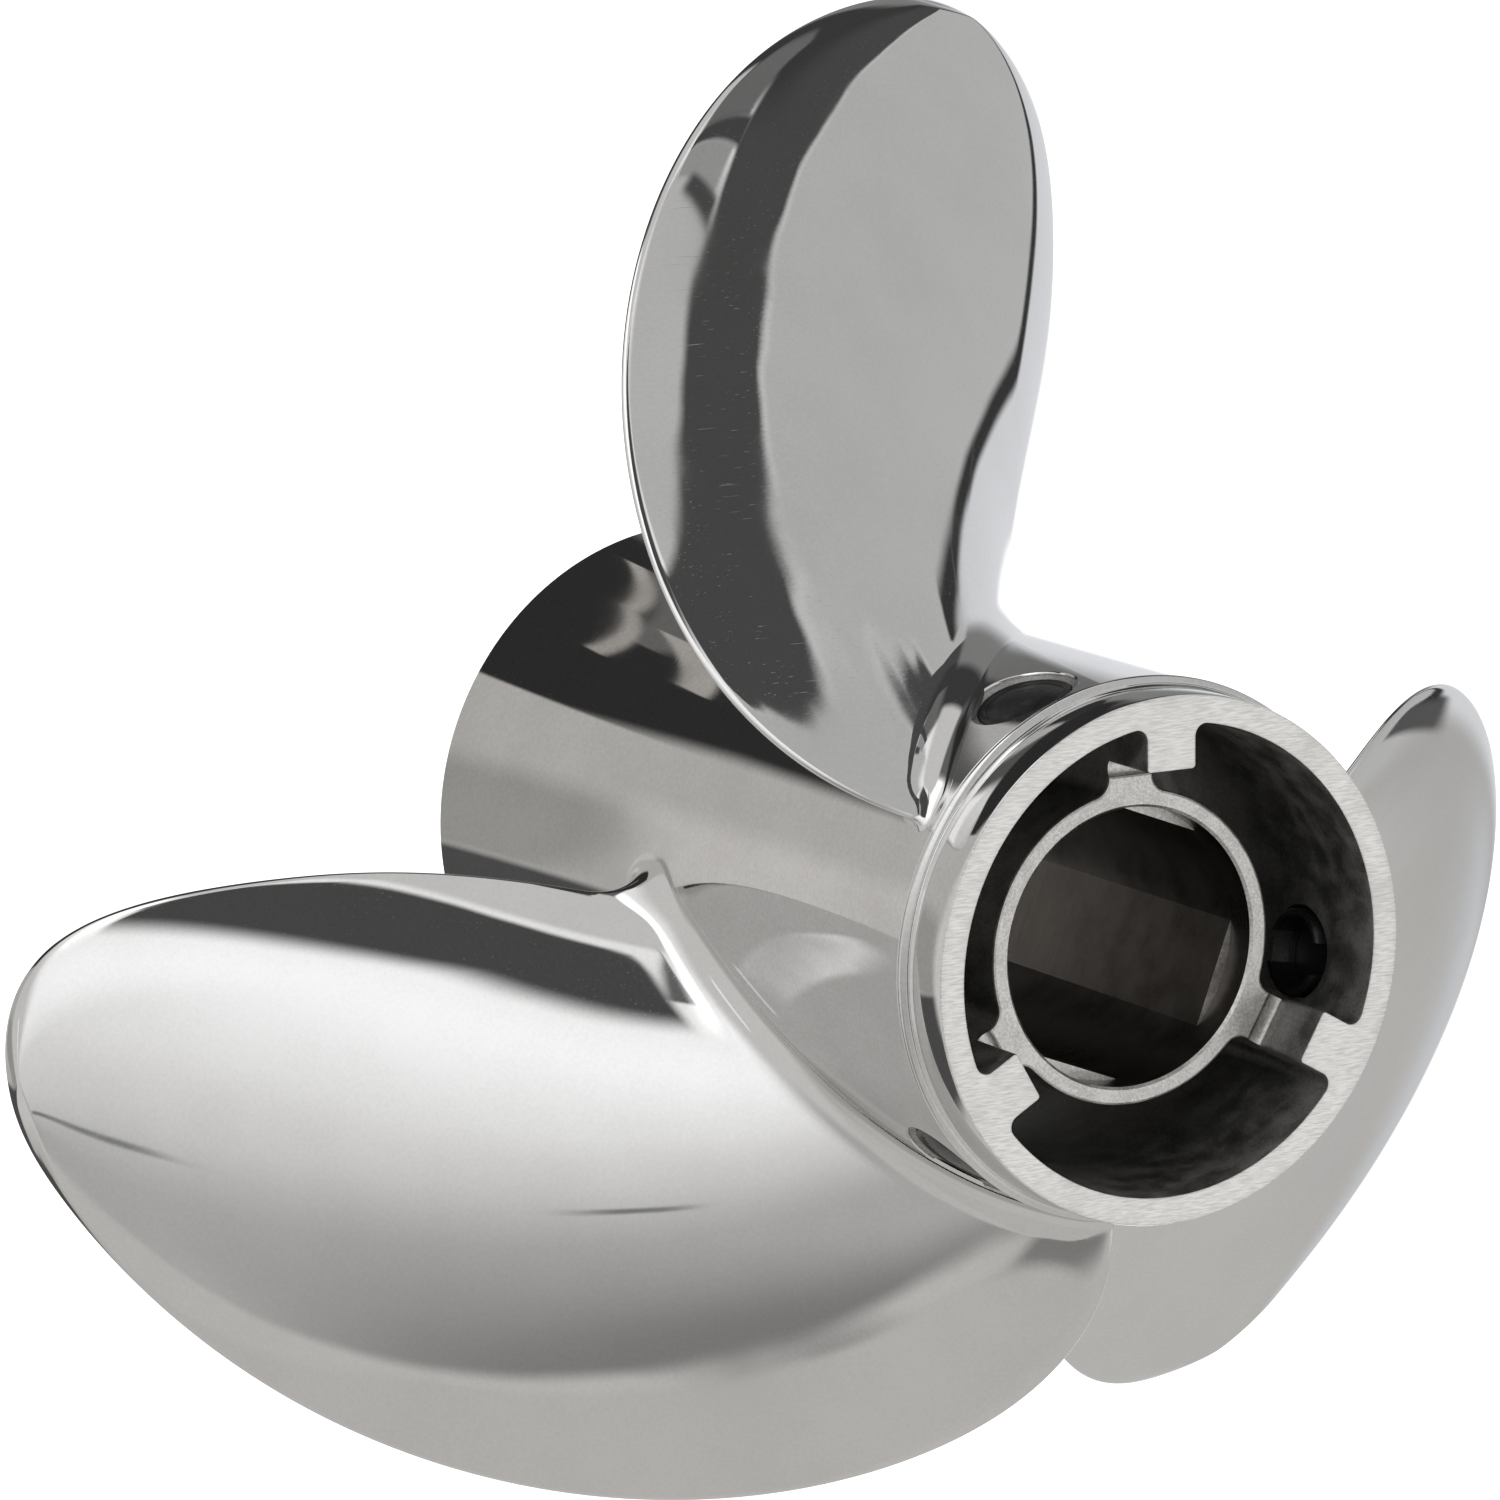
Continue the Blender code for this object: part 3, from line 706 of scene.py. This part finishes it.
def flare(loop, chord, height):
    """Push a closed section outwards by the root fillet's width at this height."""
    step = np.roll(loop, -1, axis=0) - np.roll(loop, 1, axis=0)
    normal = np.stack([step[:, 1], -step[:, 0]], axis=1)
    normal /= np.linalg.norm(normal, axis=1)[:, None]
    centre = loop.mean(axis=0)
    if ((loop - centre) * normal).sum() < 0:
        normal = -normal
    nose = np.exp(-(chord / NOSE_RUN) ** 2)
    tail = np.exp(-((1 - chord) / TAIL_RUN) ** 2)
    size = SIDE_FILLET + (NOSE_FILLET - SIDE_FILLET) * nose + (TAIL_FILLET - SIDE_FILLET) * tail
    width = fillet_width(size, max(FOOT_HEIGHT, height))
    if height < 0:
        width += FOOT_HEIGHT
    return loop + normal * width[:, None]


def on_hub(section_points, height):
    """Points in space of a section's (angle, z) rows, lifted with the hub's flare."""
    angle, z = section_points[:, 0], section_points[:, 1]
    fade = max(0.0, 1 - max(0.0, height) / FLARE_FADE)
    extra = np.array([hub_radius(-v) - HUB_RADIUS for v in z]) * fade
    radius = HUB_RADIUS + height + extra
    return np.stack([radius * np.cos(angle), radius * np.sin(angle), z], axis=1)


def blade_heights():
    """Heights over the hub of a blade's rows, closer together in the root fillet and at the tip."""
    below = [-0.0008, FOOT_HEIGHT]
    fillet = [TAIL_FILLET * (i / 18) ** 2.2 for i in range(2, 18)]
    start, last = TAIL_FILLET, TIP_RADIUS - HUB_RADIUS - 1e-6
    rest = [start + (last - start) * (1 - (1 - i / ROW_STEPS) ** 2) for i in range(ROW_STEPS + 1)]
    return below + fillet + rest


def meet_hub(mesh):
    """Let the fillet's foot take the hub's own normals, so that no edge shows where they meet."""
    corner = [n.vector.copy() for n in mesh.corner_normals]
    for loop in mesh.loops:
        co = mesh.vertices[loop.vertex_index].co
        height = co.xy.length - hub_radius(-co.z)
        if height < BLEND_HEIGHT:
            share = max(0.0, height - FOOT_HEIGHT) / (BLEND_HEIGHT - FOOT_HEIGHT)
            corner[loop.index] = hub_normal(co).lerp(corner[loop.index], share).normalized()
    mesh.normals_split_custom_set(corner)


BLADE_ROWS = [on_hub(section(height), height) for height in blade_heights()]


def blade(index):
    body = bmesh.new()
    rows = [[body.verts.new(p) for p in row] for row in BLADE_ROWS]
    for one, two in zip(rows, rows[1:]):
        join_loops(body, one, two)
    for row in (rows[0], rows[-1]):
        for i in range(CHORD_STEPS):
            quad = (row[i], row[i + 1], row[-(i + 1)], row[-i] if i else row[0])
            corners = list(dict.fromkeys(quad))
            if len(corners) > 2 and body.faces.get(corners) is None:
                body.faces.new(corners)
    mesh = finish_mesh(body, 60.0, merge=1e-7)
    meet_hub(mesh)
    mesh.transform(Matrix.Rotation(index * SECTOR, 4, "Z"))
    put(f"blade_skin_{index + 1}", mesh, ["blade"], [f"blade_{index + 1}"])


# ---- node helpers
class Net:
    """Short way to add and join shader nodes; a colour is given as three numbers."""

    def __init__(self, tree):
        self.tree = tree

    def add(self, kind, inputs=None, **settings):
        node = self.tree.nodes.new("ShaderNode" + kind)
        for key, value in settings.items():
            setattr(node, key, value)
        for key, value in (inputs or {}).items():
            self.set(node.inputs[key], value)
        return node

    def set(self, socket, value):
        if isinstance(value, bpy.types.NodeSocket):
            self.tree.links.new(value, socket)
        else:
            socket.default_value = (*value, 1.0) if socket.type == "RGBA" else value

    def math(self, operation, first, second=0.0):
        return self.add("Math", {0: first, 1: second}, operation=operation).outputs[0]

    def times(self, first, second):
        return self.math("MULTIPLY", first, second)

    def plus(self, first, second):
        return self.math("ADD", first, second)

    def vector(self, operation, inputs):
        return self.add("VectorMath", inputs, operation=operation).outputs["Vector"]

    def ramp(self, value, start, end, low=0.0, high=1.0, kind="SMOOTHSTEP"):
        """Smooth or linear step of a value from one level to another."""
        node = self.add("MapRange", {"Value": value, "From Min": start, "From Max": end,
                                               "To Min": low, "To Max": high},
                        interpolation_type=kind)
        return node.outputs["Result"]

    def noise(self, place, scale, detail=2.0, roughness=0.5):
        node = self.add("TexNoise", {"Vector": place, "Scale": scale, "Detail": detail,
                                               "Roughness": roughness})
        return node.outputs["Fac"]

    def stretch(self, place, scale, turn=(0.0, 0.0, 0.0)):
        node = self.add("Mapping", {"Vector": place, "Scale": scale,
                                              "Rotation": [math.radians(a) for a in turn]})
        return node.outputs["Vector"]

    def blend(self, factor, first, second):
        inputs = {"Factor": factor, "A": first, "B": second}
        return self.add("Mix", inputs, data_type="RGBA").outputs["Result"]

    def bump(self, height, distance, normal=None):
        inputs = {"Height": height, "Distance": distance, "Strength": 1.0}
        if normal is not None:
            inputs["Normal"] = normal
        return self.add("Bump", inputs).outputs["Normal"]

    def scratches(self, place, turn, length, width, level):
        """Hairlines: stretched noise of which only the crests are kept."""
        along = self.stretch(place, (1.0 / length, 1.0 / width, 1.0 / width), turn)
        return self.ramp(self.noise(along, 1.0, 1.0), level, level + 0.06)


def new_look(name, colour, metallic):
    """A material with its node helper, its shader and the piece's own coordinates."""
    look = bpy.data.materials.new(name)
    look.use_nodes = True
    net = Net(look.node_tree)
    shader = look.node_tree.nodes["Principled BSDF"]
    net.set(shader.inputs["Base Color"], colour)
    net.set(shader.inputs["Metallic"], metallic)
    place = net.add("TexCoord").outputs["Object"]
    return look, net, shader, place


def dress(net, shader, colour, rough, normal):
    net.set(shader.inputs["Base Color"], colour)
    net.set(shader.inputs["Roughness"], rough)
    net.set(shader.inputs["Normal"], normal)


# ---- looks
def polished(name, wave, mottle):
    """Mirror-buffed stainless: hand-ground waviness, faint haze, hairlines and pits."""
    look, net, shader, place = new_look(name, (0.62, 0.615, 0.61), 1.0)
    haze = net.noise(place, 26.0, 4.0, 0.6)
    sand = net.noise(place, 1100.0, 2.0, 0.6)
    lines = net.scratches(place, (20.0, 35.0, 10.0), 0.022, 0.00022, 0.73)
    cross = net.scratches(place, (-35.0, 10.0, 60.0), 0.014, 0.00020, 0.74)
    cells = net.add("TexVoronoi", {"Vector": place, "Scale": 330.0})
    draw = net.add("SeparateColor", {"Color": cells.outputs["Color"]}).outputs["Red"]
    near = net.ramp(cells.outputs["Distance"], 0.055, 0.02)
    pit = net.times(net.ramp(draw, 0.80, 0.86), near)
    marks = net.math("MAXIMUM", net.math("MAXIMUM", lines, cross), pit)
    hazy = net.ramp(haze, 0.35, 0.75, 0.015, 0.06)
    rough = net.plus(hazy, net.times(marks, 0.22))
    shade = net.plus(net.times(haze, 0.55), net.times(sand, 0.45))
    tint = net.blend(net.ramp(shade, 0.36, 0.64),
                     [0.64 + mottle, 0.635 + mottle, 0.63 + mottle],
                     [0.60 - mottle, 0.595 - mottle, 0.588 - mottle])
    ripple = net.times(net.noise(place, 70.0, 0.0), 0.08)
    ground = net.plus(net.noise(place, 16.0, 0.0), ripple)
    dress(net, shader, tint, rough, net.bump(sand, 0.0000005, net.bump(ground, wave)))
    return look


def machined():
    """Faced and hand-dressed stainless: short crossing scratches on a cloudy sheen."""
    look, net, shader, place = new_look("machined_steel", (0.66, 0.65, 0.64), 1.0)
    cloud = net.noise(place, 60.0, 3.0, 0.6)
    patch = net.ramp(net.noise(place, 45.0, 1.0), 0.44, 0.56)
    turns = ((0.0, 50.0, 0.0), (0.0, -25.0, 0.0), (0.0, 82.0, 0.0))
    lays = [net.noise(net.stretch(place, (260.0, 2600.0, 2600.0), turn), 1.0, 2.0, 0.6)
            for turn in turns]
    mixed = net.plus(net.times(lays[0], patch),
                     net.times(lays[1], net.math("SUBTRACT", 1.0, patch)))
    grain = net.plus(net.times(mixed, 0.65), net.times(lays[2], 0.35))
    deep = net.scratches(place, (0.0, 40.0, 0.0), 0.007, 0.00020, 0.69)
    steep = net.scratches(place, (0.0, -65.0, 0.0), 0.006, 0.00018, 0.70)
    marks = net.math("MAXIMUM", deep, steep)
    rough = net.plus(net.ramp(cloud, 0.3, 0.7, 0.24, 0.36),
                     net.ramp(grain, 0.3, 0.7, -0.05, 0.07))
    tint = net.blend(net.ramp(grain, 0.38, 0.62), (0.54, 0.53, 0.515), (0.74, 0.73, 0.715))
    worn = net.blend(net.times(marks, 0.55), tint, (0.34, 0.33, 0.32))
    dull = net.blend(net.ramp(cloud, 0.5, 0.75, 0.0, 0.35), worn, (0.50, 0.49, 0.475))
    dress(net, shader, dull, rough, net.bump(marks, -0.00001, net.bump(grain, 0.000012)))
    return look


def cast(name, colour, light, rough):
    """Blasted casting skin: fine grain, larger unevenness and a few bright specks."""
    look, net, shader, place = new_look(name, colour, 1.0)
    grain = net.noise(place, 1500.0, 2.0, 0.6)
    lumps = net.noise(place, 160.0, 3.0, 0.55)
    speck = net.ramp(net.noise(place, 900.0, 1.0), 0.68, 0.74)
    shade = net.times(net.plus(grain, lumps), 0.5)
    tint = net.blend(net.ramp(shade, 0.36, 0.64), [c * 0.75 for c in colour],
                     [c * 1.2 for c in colour])
    dress(net, shader, net.blend(net.times(speck, 0.5), tint, light),
          net.ramp(lumps, 0.3, 0.7, rough - 0.08, rough + 0.08),
          net.bump(grain, 0.00004, net.bump(lumps, 0.00012)))
    return look


def bored():
    """Drive bore: dark smooth steel with a brown cast, fine turning lines and a few scratches."""
    look, net, shader, place = new_look("bore_steel", (0.11, 0.10, 0.09), 1.0)
    cloud = net.noise(place, 90.0, 3.0, 0.6)
    lines = net.noise(net.stretch(place, (40.0, 2200.0, 40.0)), 1.0, 1.0)
    marks = net.scratches(place, (0.0, 0.0, 35.0), 0.009, 0.00020, 0.68)
    tint = net.blend(net.ramp(cloud, 0.3, 0.7), (0.085, 0.075, 0.068), (0.15, 0.137, 0.124))
    dress(net, shader, net.blend(net.times(marks, 0.6), tint, (0.05, 0.05, 0.05)),
          net.plus(net.ramp(cloud, 0.3, 0.7, 0.26, 0.38), net.ramp(lines, 0.4, 0.7, 0.0, 0.06)),
          net.bump(net.math("SUBTRACT", lines, marks), 0.000008))
    return look


def plastic():
    """Satin black moulding with a fine texture and dusty high spots."""
    look, net, shader, place = new_look("black_plastic", (0.018, 0.018, 0.02), 0.0)
    grain = net.noise(place, 900.0, 2.0)
    cloud = net.noise(place, 140.0, 3.0)
    dusty = net.blend(net.ramp(cloud, 0.55, 0.8), (0.006, 0.006, 0.006), (0.03, 0.03, 0.03))
    shader.inputs["Specular IOR Level"].default_value = 0.3
    dress(net, shader, dusty, net.ramp(cloud, 0.3, 0.7, 0.25, 0.45), net.bump(grain, 0.00006))
    return look


LOOKS = {
    "blade": polished("polished_blade", 0.00020, 0.0),
    "hub": polished("polished_hub", 0.00004, 0.02),
    "machined": machined(),
    "tube": cast("tube_steel", (0.56, 0.55, 0.53), (0.75, 0.74, 0.72), 0.42),
    "cast": cast("cast_steel", (0.30, 0.293, 0.285), (0.42, 0.41, 0.40), 0.50),
    "bore": bored(),
    "plastic": plastic(),
}


# ---- studio
def grey(value, warmth=0.0):
    """A grey of a given light level; warmth turns it slightly towards cream, or blue below 0."""
    return (value * (1 + 0.025 * warmth), value, value * (1 - 0.035 * warmth))


# Angles are in degrees; a light level is followed by its warmth where it has one, as grey()
# takes them.  Azimuth 0 is in front of the propeller and 90 on its right.
# light that arrives from each height, as (elevation, level)
SKY = ((-90, 0.70, 1), (-45, 0.66, 0.9), (-30, 0.60, 1), (-18, 0.52, 0.6), (-8, 0.60, 0.3),
       (3, 0.85, 0.1), (16, 1.1), (45, 1.25), (90, 1.2))
# bent edges, as (azimuth, elevation); the dark gap between soft boxes runs between these two
GAP_LOW = ((-10, 52), (20, 55.5), (44, 54), (54.5, 52.3), (61.5, 50.7), (65.9, 49), (69.7, 47.2),
           (73.9, 45.3), (77.9, 42.6), (82.2, 39.4), (84.6, 37.9), (88.8, 34.3), (90.9, 32.9),
           (93.5, 30.1), (102.5, 25.6), (108, 23))
GAP_HIGH = ((-10, 62), (18, 61.8), (28.6, 61.5), (42.3, 60.4), (53, 58.4), (61.1, 56.6), (66.4, 55),
            (73.5, 51.6), (79, 50), (84, 48.5), (100, 44), (130, 42))
# cards with straight edges, each over those before it: corners, softness of each edge, level
PANELS_FIRST = (
    (((-95, 20), (-10, 20), (-10, 36), (-95, 36)), (18, 12, 14, 12), 1.52, -0.4),
    (((-100, -8), (-25, -8), (-25, -44), (-100, -44)), (16, 8, 6, 8), 0.60, 0.2),
    (((-51, -12), (-30, -18), (-22, -50), (-46, -52), (-58, -36)), (16, 6, 6, 4, 6), 0.29, 0.2),
    (((-64, -20), (-49.2, -35), (-41.7, -53.6), (-30, -80), (-110, -80), (-110, -22)),
     (1.4, 0.7, 4, 4, 4, 4), 0.70, 1),
    (((-54.3, -33.4), (-31.4, -51.7), (-15, -60), (-15, -80), (-100, -80), (-100, -40)),
     (0.7, 2, 4, 4, 4, 2), 0.66, 1),
    (((-54.5, -0.4), (-52.2, -0.1), (-52.2, -1.2), (-54.5, -1.5)), (0.4, 0.7, 0.4, 0.8), 0.28),
    (((-140, -25), (-86, -25), (-86, 40), (-140, 44)), (6, 8, 14, 8), 0.80, 0.5),
    (((-105, 17.5), (-102.5, 18.5), (-98, 6), (-99.6, 5)), (1.2,) * 4, 1.35),
    (((-150, 62), (-77, 42), (-64, 48), (-64, 62), (-150, 74)), (3, 4, 1, 2, 2), 1.8),
    (((-12, 26), (32, 28), (32, 42), (-12, 46)), (4,) * 4, 1.55),
)
# cards between two bent edges: lower, upper, their softness, softness of the ends, level
STRIPS = (
    (((5, 56), (82, 50)), ((5, 75), (82, 75)), (3, 12), 8, 0.67),
    (((25, -40), (112, -40)), GAP_LOW, (6, 1.2), 4, 0.64),
    (GAP_LOW, GAP_HIGH, (0.6, 1.0), 6, 0.09),
)
PANELS_LAST = (
    (((86, 44), (104, 33), (150, 33), (168, 50), (158, 56), (88, 58)), (3, 1, 3, 3, 3, 4), 0.06),
    (((152, 50), (180, 50), (-150, 50), (-150, 75), (152, 76)), (4, 4, 4, 3, 3), 0.17),
    (((108, 56), (152, 56), (-140, 73), (-75, 71), (0, 82), (60, 80)),
     (2, 2, 2, 2, 3, 3), 0.80, 0.4),
    (((-68, 49), (-36, 45), (-8, 58), (5, 83), (-20, 84.5), (-57, 67.5)),
     (4, 4, 3, 1.5, 0.8, 1), 0.09),
    (((-64.5, 57), (-60, 57), (-60.5, 71), (-66, 77)), (0.8,) * 4, 0.17),
    (((84.6, 49), (98.5, 44.4), (106, 45), (102, 62), (86, 62)), (0.5, 0.6, 3, 3, 0.5), 0.20),
    (((80.6, 49), (84.8, 48), (87, 63), (82.4, 63)), (0.5,) * 4, 0.08),
    (((75, 52.4), (80.8, 50.1), (82.6, 63), (76, 63)), (0.4,) * 4, 0.42),
    (((71.6, 52.8), (75.2, 51.4), (76.4, 58), (73, 60)), (0.4, 0.4, 1, 0.6), 0.09),
    (((112, 8), (165, 8), (165, 36), (112, 36)), (5, 5, 3, 2), 0.28),
    (((111.4, -15), (165, -15), (165, 16), (111.4, 12)), (1.5, 6, 7, 1.2), 0.88, -1),
    (((118, -38), (165, -38), (165, -16), (118, -18)), (6, 5, 3, 4), 0.72, -1),
    (((131, -30), (165, -30), (165, -1), (131, -1)), (5, 5, 4, 3), 1.6),
    (((106, -17.7), (113.6, -17.3), (113.6, -13), (106, -13)), (0.6, 0.8, 1, 1), 0.12),
    (((109.4, -14), (112.3, -14), (112.3, 4.6), (109.6, 4.6)), (0.8,) * 4, 0.05),
    (((109.7, 4), (112.2, 4), (110.5, 11), (108.1, 10.6)), (0.7,) * 4, 0.05),
    (((108.1, 10.1), (110.4, 10.8), (106.5, 18.7), (103.9, 17.6)), (0.7,) * 4, 0.05),
    (((175, 5), (-152, 5), (-128, 5), (-128, 45), (175, 45)), (4, 4, 3, 3, 3), 0.60, 1),
    (((-175, 13.5), (-152, 22.2), (-132, 33), (-128, 0), (-132, -14), (-172, -14)),
     (1.6, 1.6, 4, 3, 1.2, 3), 0.60, 1),
    (((-146, -14), (-130, -14), (-130, 7), (-146, 7)), (1.2, 3, 4, 2), 0.42, 1),
    (((-156, -8), (-147, -8), (-147, 8), (-156, 8)), (4, 1.5, 4, 3), 0.74, 1),
    (((-152, 22.5), (-135, 33), (-140, 52), (165, 60), (150, 34), (175, 14)),
     (0.5, 2, 3, 3, 3, 2), 0.035),
    (((165, 31.5), (-171, 34.3), (-171, 36), (180, 36.4), (165, 34.6)),
     (0.6, 0.4, 0.4, 0.4, 0.4), 0.17, 1),
    (((165, 34.5), (-180, 36.7), (-180, 37.4), (165, 35.3)), (0.2, 0.1, 0.2, 0.1), 0.46, 2),
    (((-180, 36.7), (-163.2, 33.6), (-163.2, 34.5), (-180, 37.4)), (0.2, 0.2, 0.2, 0.1), 0.46, 2),
    (((-178, 34), (-165.3, 29.9), (-165.3, 31.2), (-178, 35.7)), (0.2,) * 4, 0.48, 2),
    (((-165, -14), (-130, -14), (-130, -40), (-165, -40)), (1, 3, 3, 3), 0.10),
    (((2, -38), (62, -38), (62, 14), (2, 14)), (10,) * 4, 1.05, 0.3),
)
SKY_WOBBLE = 0.0008  # how far the cards' edges wander, in radians


def direction(azimuth, elevation):
    a, e = math.radians(azimuth), math.radians(elevation)
    return Vector((math.sin(a) * math.cos(e), -math.cos(a) * math.cos(e), math.sin(e)))


def panel_mask(net, towards, corners, softness):
    """1 inside a polygon of directions whose edges are straight as seen from the middle."""
    points = [direction(*c) for c in corners]
    middle = sum(points, Vector())
    edges = []
    for one, two, soft in zip(points, points[1:] + points[:1], softness):
        side = one.cross(two).normalized()
        if side.dot(middle) < 0:
            side = -side
        reach = math.sin(math.radians(soft))
        dot = net.add("VectorMath", {0: towards, 1: side}, operation="DOT_PRODUCT")
        edges.append(net.ramp(dot.outputs["Value"], -reach, reach))
    return functools.reduce(net.times, edges)


def height_curve(net, azimuth, points):
    """Elevation of a bent edge at an azimuth, in degrees."""
    turn = net.ramp(azimuth, -180.0, 180.0, kind="LINEAR")
    curve = net.add("FloatCurve", {"Value": turn})
    dots = curve.mapping.curves[0].points
    while len(dots) < len(points):
        dots.new(0.5, 0.5)
    for dot, (a, e) in zip(dots, sorted(points)):
        dot.location = ((a + 180.0) / 360.0, (e + 90.0) / 180.0)
        dot.handle_type = "VECTOR"
    curve.mapping.update()
    return net.math("SUBTRACT", net.times(curve.outputs[0], 180.0), 90.0)


def strip_mask(net, azimuth, elevation, lower, upper, softness, end_softness):
    """1 between two bent edges."""
    low_edge = net.math("SUBTRACT", elevation, height_curve(net, azimuth, lower))
    high_edge = net.math("SUBTRACT", height_curve(net, azimuth, upper), elevation)
    start = min(point[0] for point in lower + upper)
    end = max(point[0] for point in lower + upper)
    half = end_softness / 2
    edges = (net.ramp(low_edge, -softness[0] / 2, softness[0] / 2),
             net.ramp(high_edge, -softness[1] / 2, softness[1] / 2),
             net.ramp(azimuth, start - half, start + half),
             net.ramp(azimuth, end + half, end - half))
    return functools.reduce(net.times, edges)


def studio():
    """Soft boxes, grey cards and the dark gaps between them, as light from each direction."""
    world = bpy.data.worlds.new("studio")
    bpy.context.scene.world = world
    world.use_nodes = True
    net = Net(world.node_tree)
    background = world.node_tree.nodes["Background"]
    straight = net.add("TexCoord").outputs["Generated"]
    wander = net.add("TexNoise", {"Vector": straight, "Scale": 70.0, "Detail": 4.0})
    centred = net.vector("SUBTRACT", {0: wander.outputs["Color"], 1: (0.5, 0.5, 0.5)})
    small = net.vector("SCALE", {0: centred, "Scale": SKY_WOBBLE})
    towards = net.vector("NORMALIZE", {0: net.vector("ADD", {0: straight, 1: small})})
    parts = net.add("SeparateXYZ", {"Vector": towards}).outputs
    degree = math.degrees(1.0)
    elevation = net.times(net.math("ARCSINE", parts["Z"]), degree)
    forward = net.times(parts["Y"], -1.0)
    azimuth = net.times(net.math("ARCTAN2", parts["X"], forward), degree)
    sky = net.add("ValToRGB", {"Fac": net.ramp(parts["Z"], -1.0, 1.0, kind="LINEAR")})
    stops = sky.color_ramp.elements
    while len(stops) < len(SKY):
        stops.new(0.5)
    for stop, (height, *level) in zip(stops, SKY):
        stop.position = (math.sin(math.radians(height)) + 1) / 2
        stop.color = (*grey(*level), 1.0)
    light = sky.outputs["Color"]
    for corners, softness, *level in PANELS_FIRST:
        light = net.blend(panel_mask(net, towards, corners, softness), light, grey(*level))
    for lower, upper, softness, end_softness, *level in STRIPS:
        mask = strip_mask(net, azimuth, elevation, lower, upper, softness, end_softness)
        light = net.blend(mask, light, grey(*level))
    for corners, softness, *level in PANELS_LAST:
        light = net.blend(panel_mask(net, towards, corners, softness), light, grey(*level))
    net.set(background.inputs["Color"], light)
    # the backdrop and matt surfaces see an even white room
    plain = net.add("Background", {"Color": (1.0, 1.0, 1.0)})
    ray = net.add("LightPath").outputs
    even = net.math("MAXIMUM", ray["Is Camera Ray"], ray["Is Diffuse Ray"])
    mixed = net.add("MixShader", {0: even, 1: background.outputs[0], 2: plain.outputs[0]})
    net.set(world.node_tree.nodes["World Output"].inputs["Surface"], mixed.outputs[0])
    world.cycles.sampling_method = "NONE"


def floor():
    low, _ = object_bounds()
    body = bmesh.new()
    bmesh.ops.create_circle(body, cap_ends=True, segments=96, radius=FLOOR_RADIUS)
    mesh = bpy.data.meshes.new("floor")
    body.to_mesh(mesh)
    body.free()
    piece = add_object("floor", mesh)
    piece.location.z = low.z - FLOOR_GAP
    look, net, shader, place = new_look("floor", (0.93, 0.93, 0.93), 0.0)
    net.set(shader.inputs["Roughness"], net.ramp(net.noise(place, 3.0), 0.3, 0.7, 0.85, 0.95))
    net.set(shader.inputs["Emission Color"], (1.0, 1.0, 1.0))
    net.set(shader.inputs["Emission Strength"], 0.30)
    mesh.materials.append(look)
    piece.visible_glossy = False
    piece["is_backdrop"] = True


def lamp(name, place, size, power):
    """Soft area lamp aimed at the hub; it lights the floor and the plastic but not the mirrors."""
    data = bpy.data.lights.new(name, "AREA")
    data.shape = "SQUARE"
    data.size = size
    data.energy = power
    item = add_object(name, data)
    item.location = place
    item.rotation_euler = (-Vector(place)).to_track_quat("-Z", "Y").to_euler()
    item.visible_glossy = False


def camera():
    """The camera that was fitted to the photograph's rim, bore and blade outlines."""
    data = bpy.data.cameras.new("camera")
    eye = add_object("camera", data)
    data.sensor_width = 36.0
    data.lens = CAMERA_LENS
    data.clip_start, data.clip_end = 0.1, 50.0
    sight = Vector(CAMERA_SIGHT)
    turn = sight.to_track_quat("-Z", "Y").to_matrix().to_4x4()
    roll = Matrix.Rotation(math.radians(CAMERA_ROLL), 4, sight)
    eye.matrix_world = Matrix.Translation(CAMERA_PLACE) @ roll @ turn
    bpy.context.scene.camera = eye


collar()
barrel()
diffuser()
tube()
for number in range(SECTORS):
    rib(number)
    plug(number)
    blade(number)
camera()
studio()
floor()
for settings in LAMPS:
    lamp(*settings)
bpy.context.scene.view_settings.view_transform = "Standard"
bpy.context.view_layer.update()
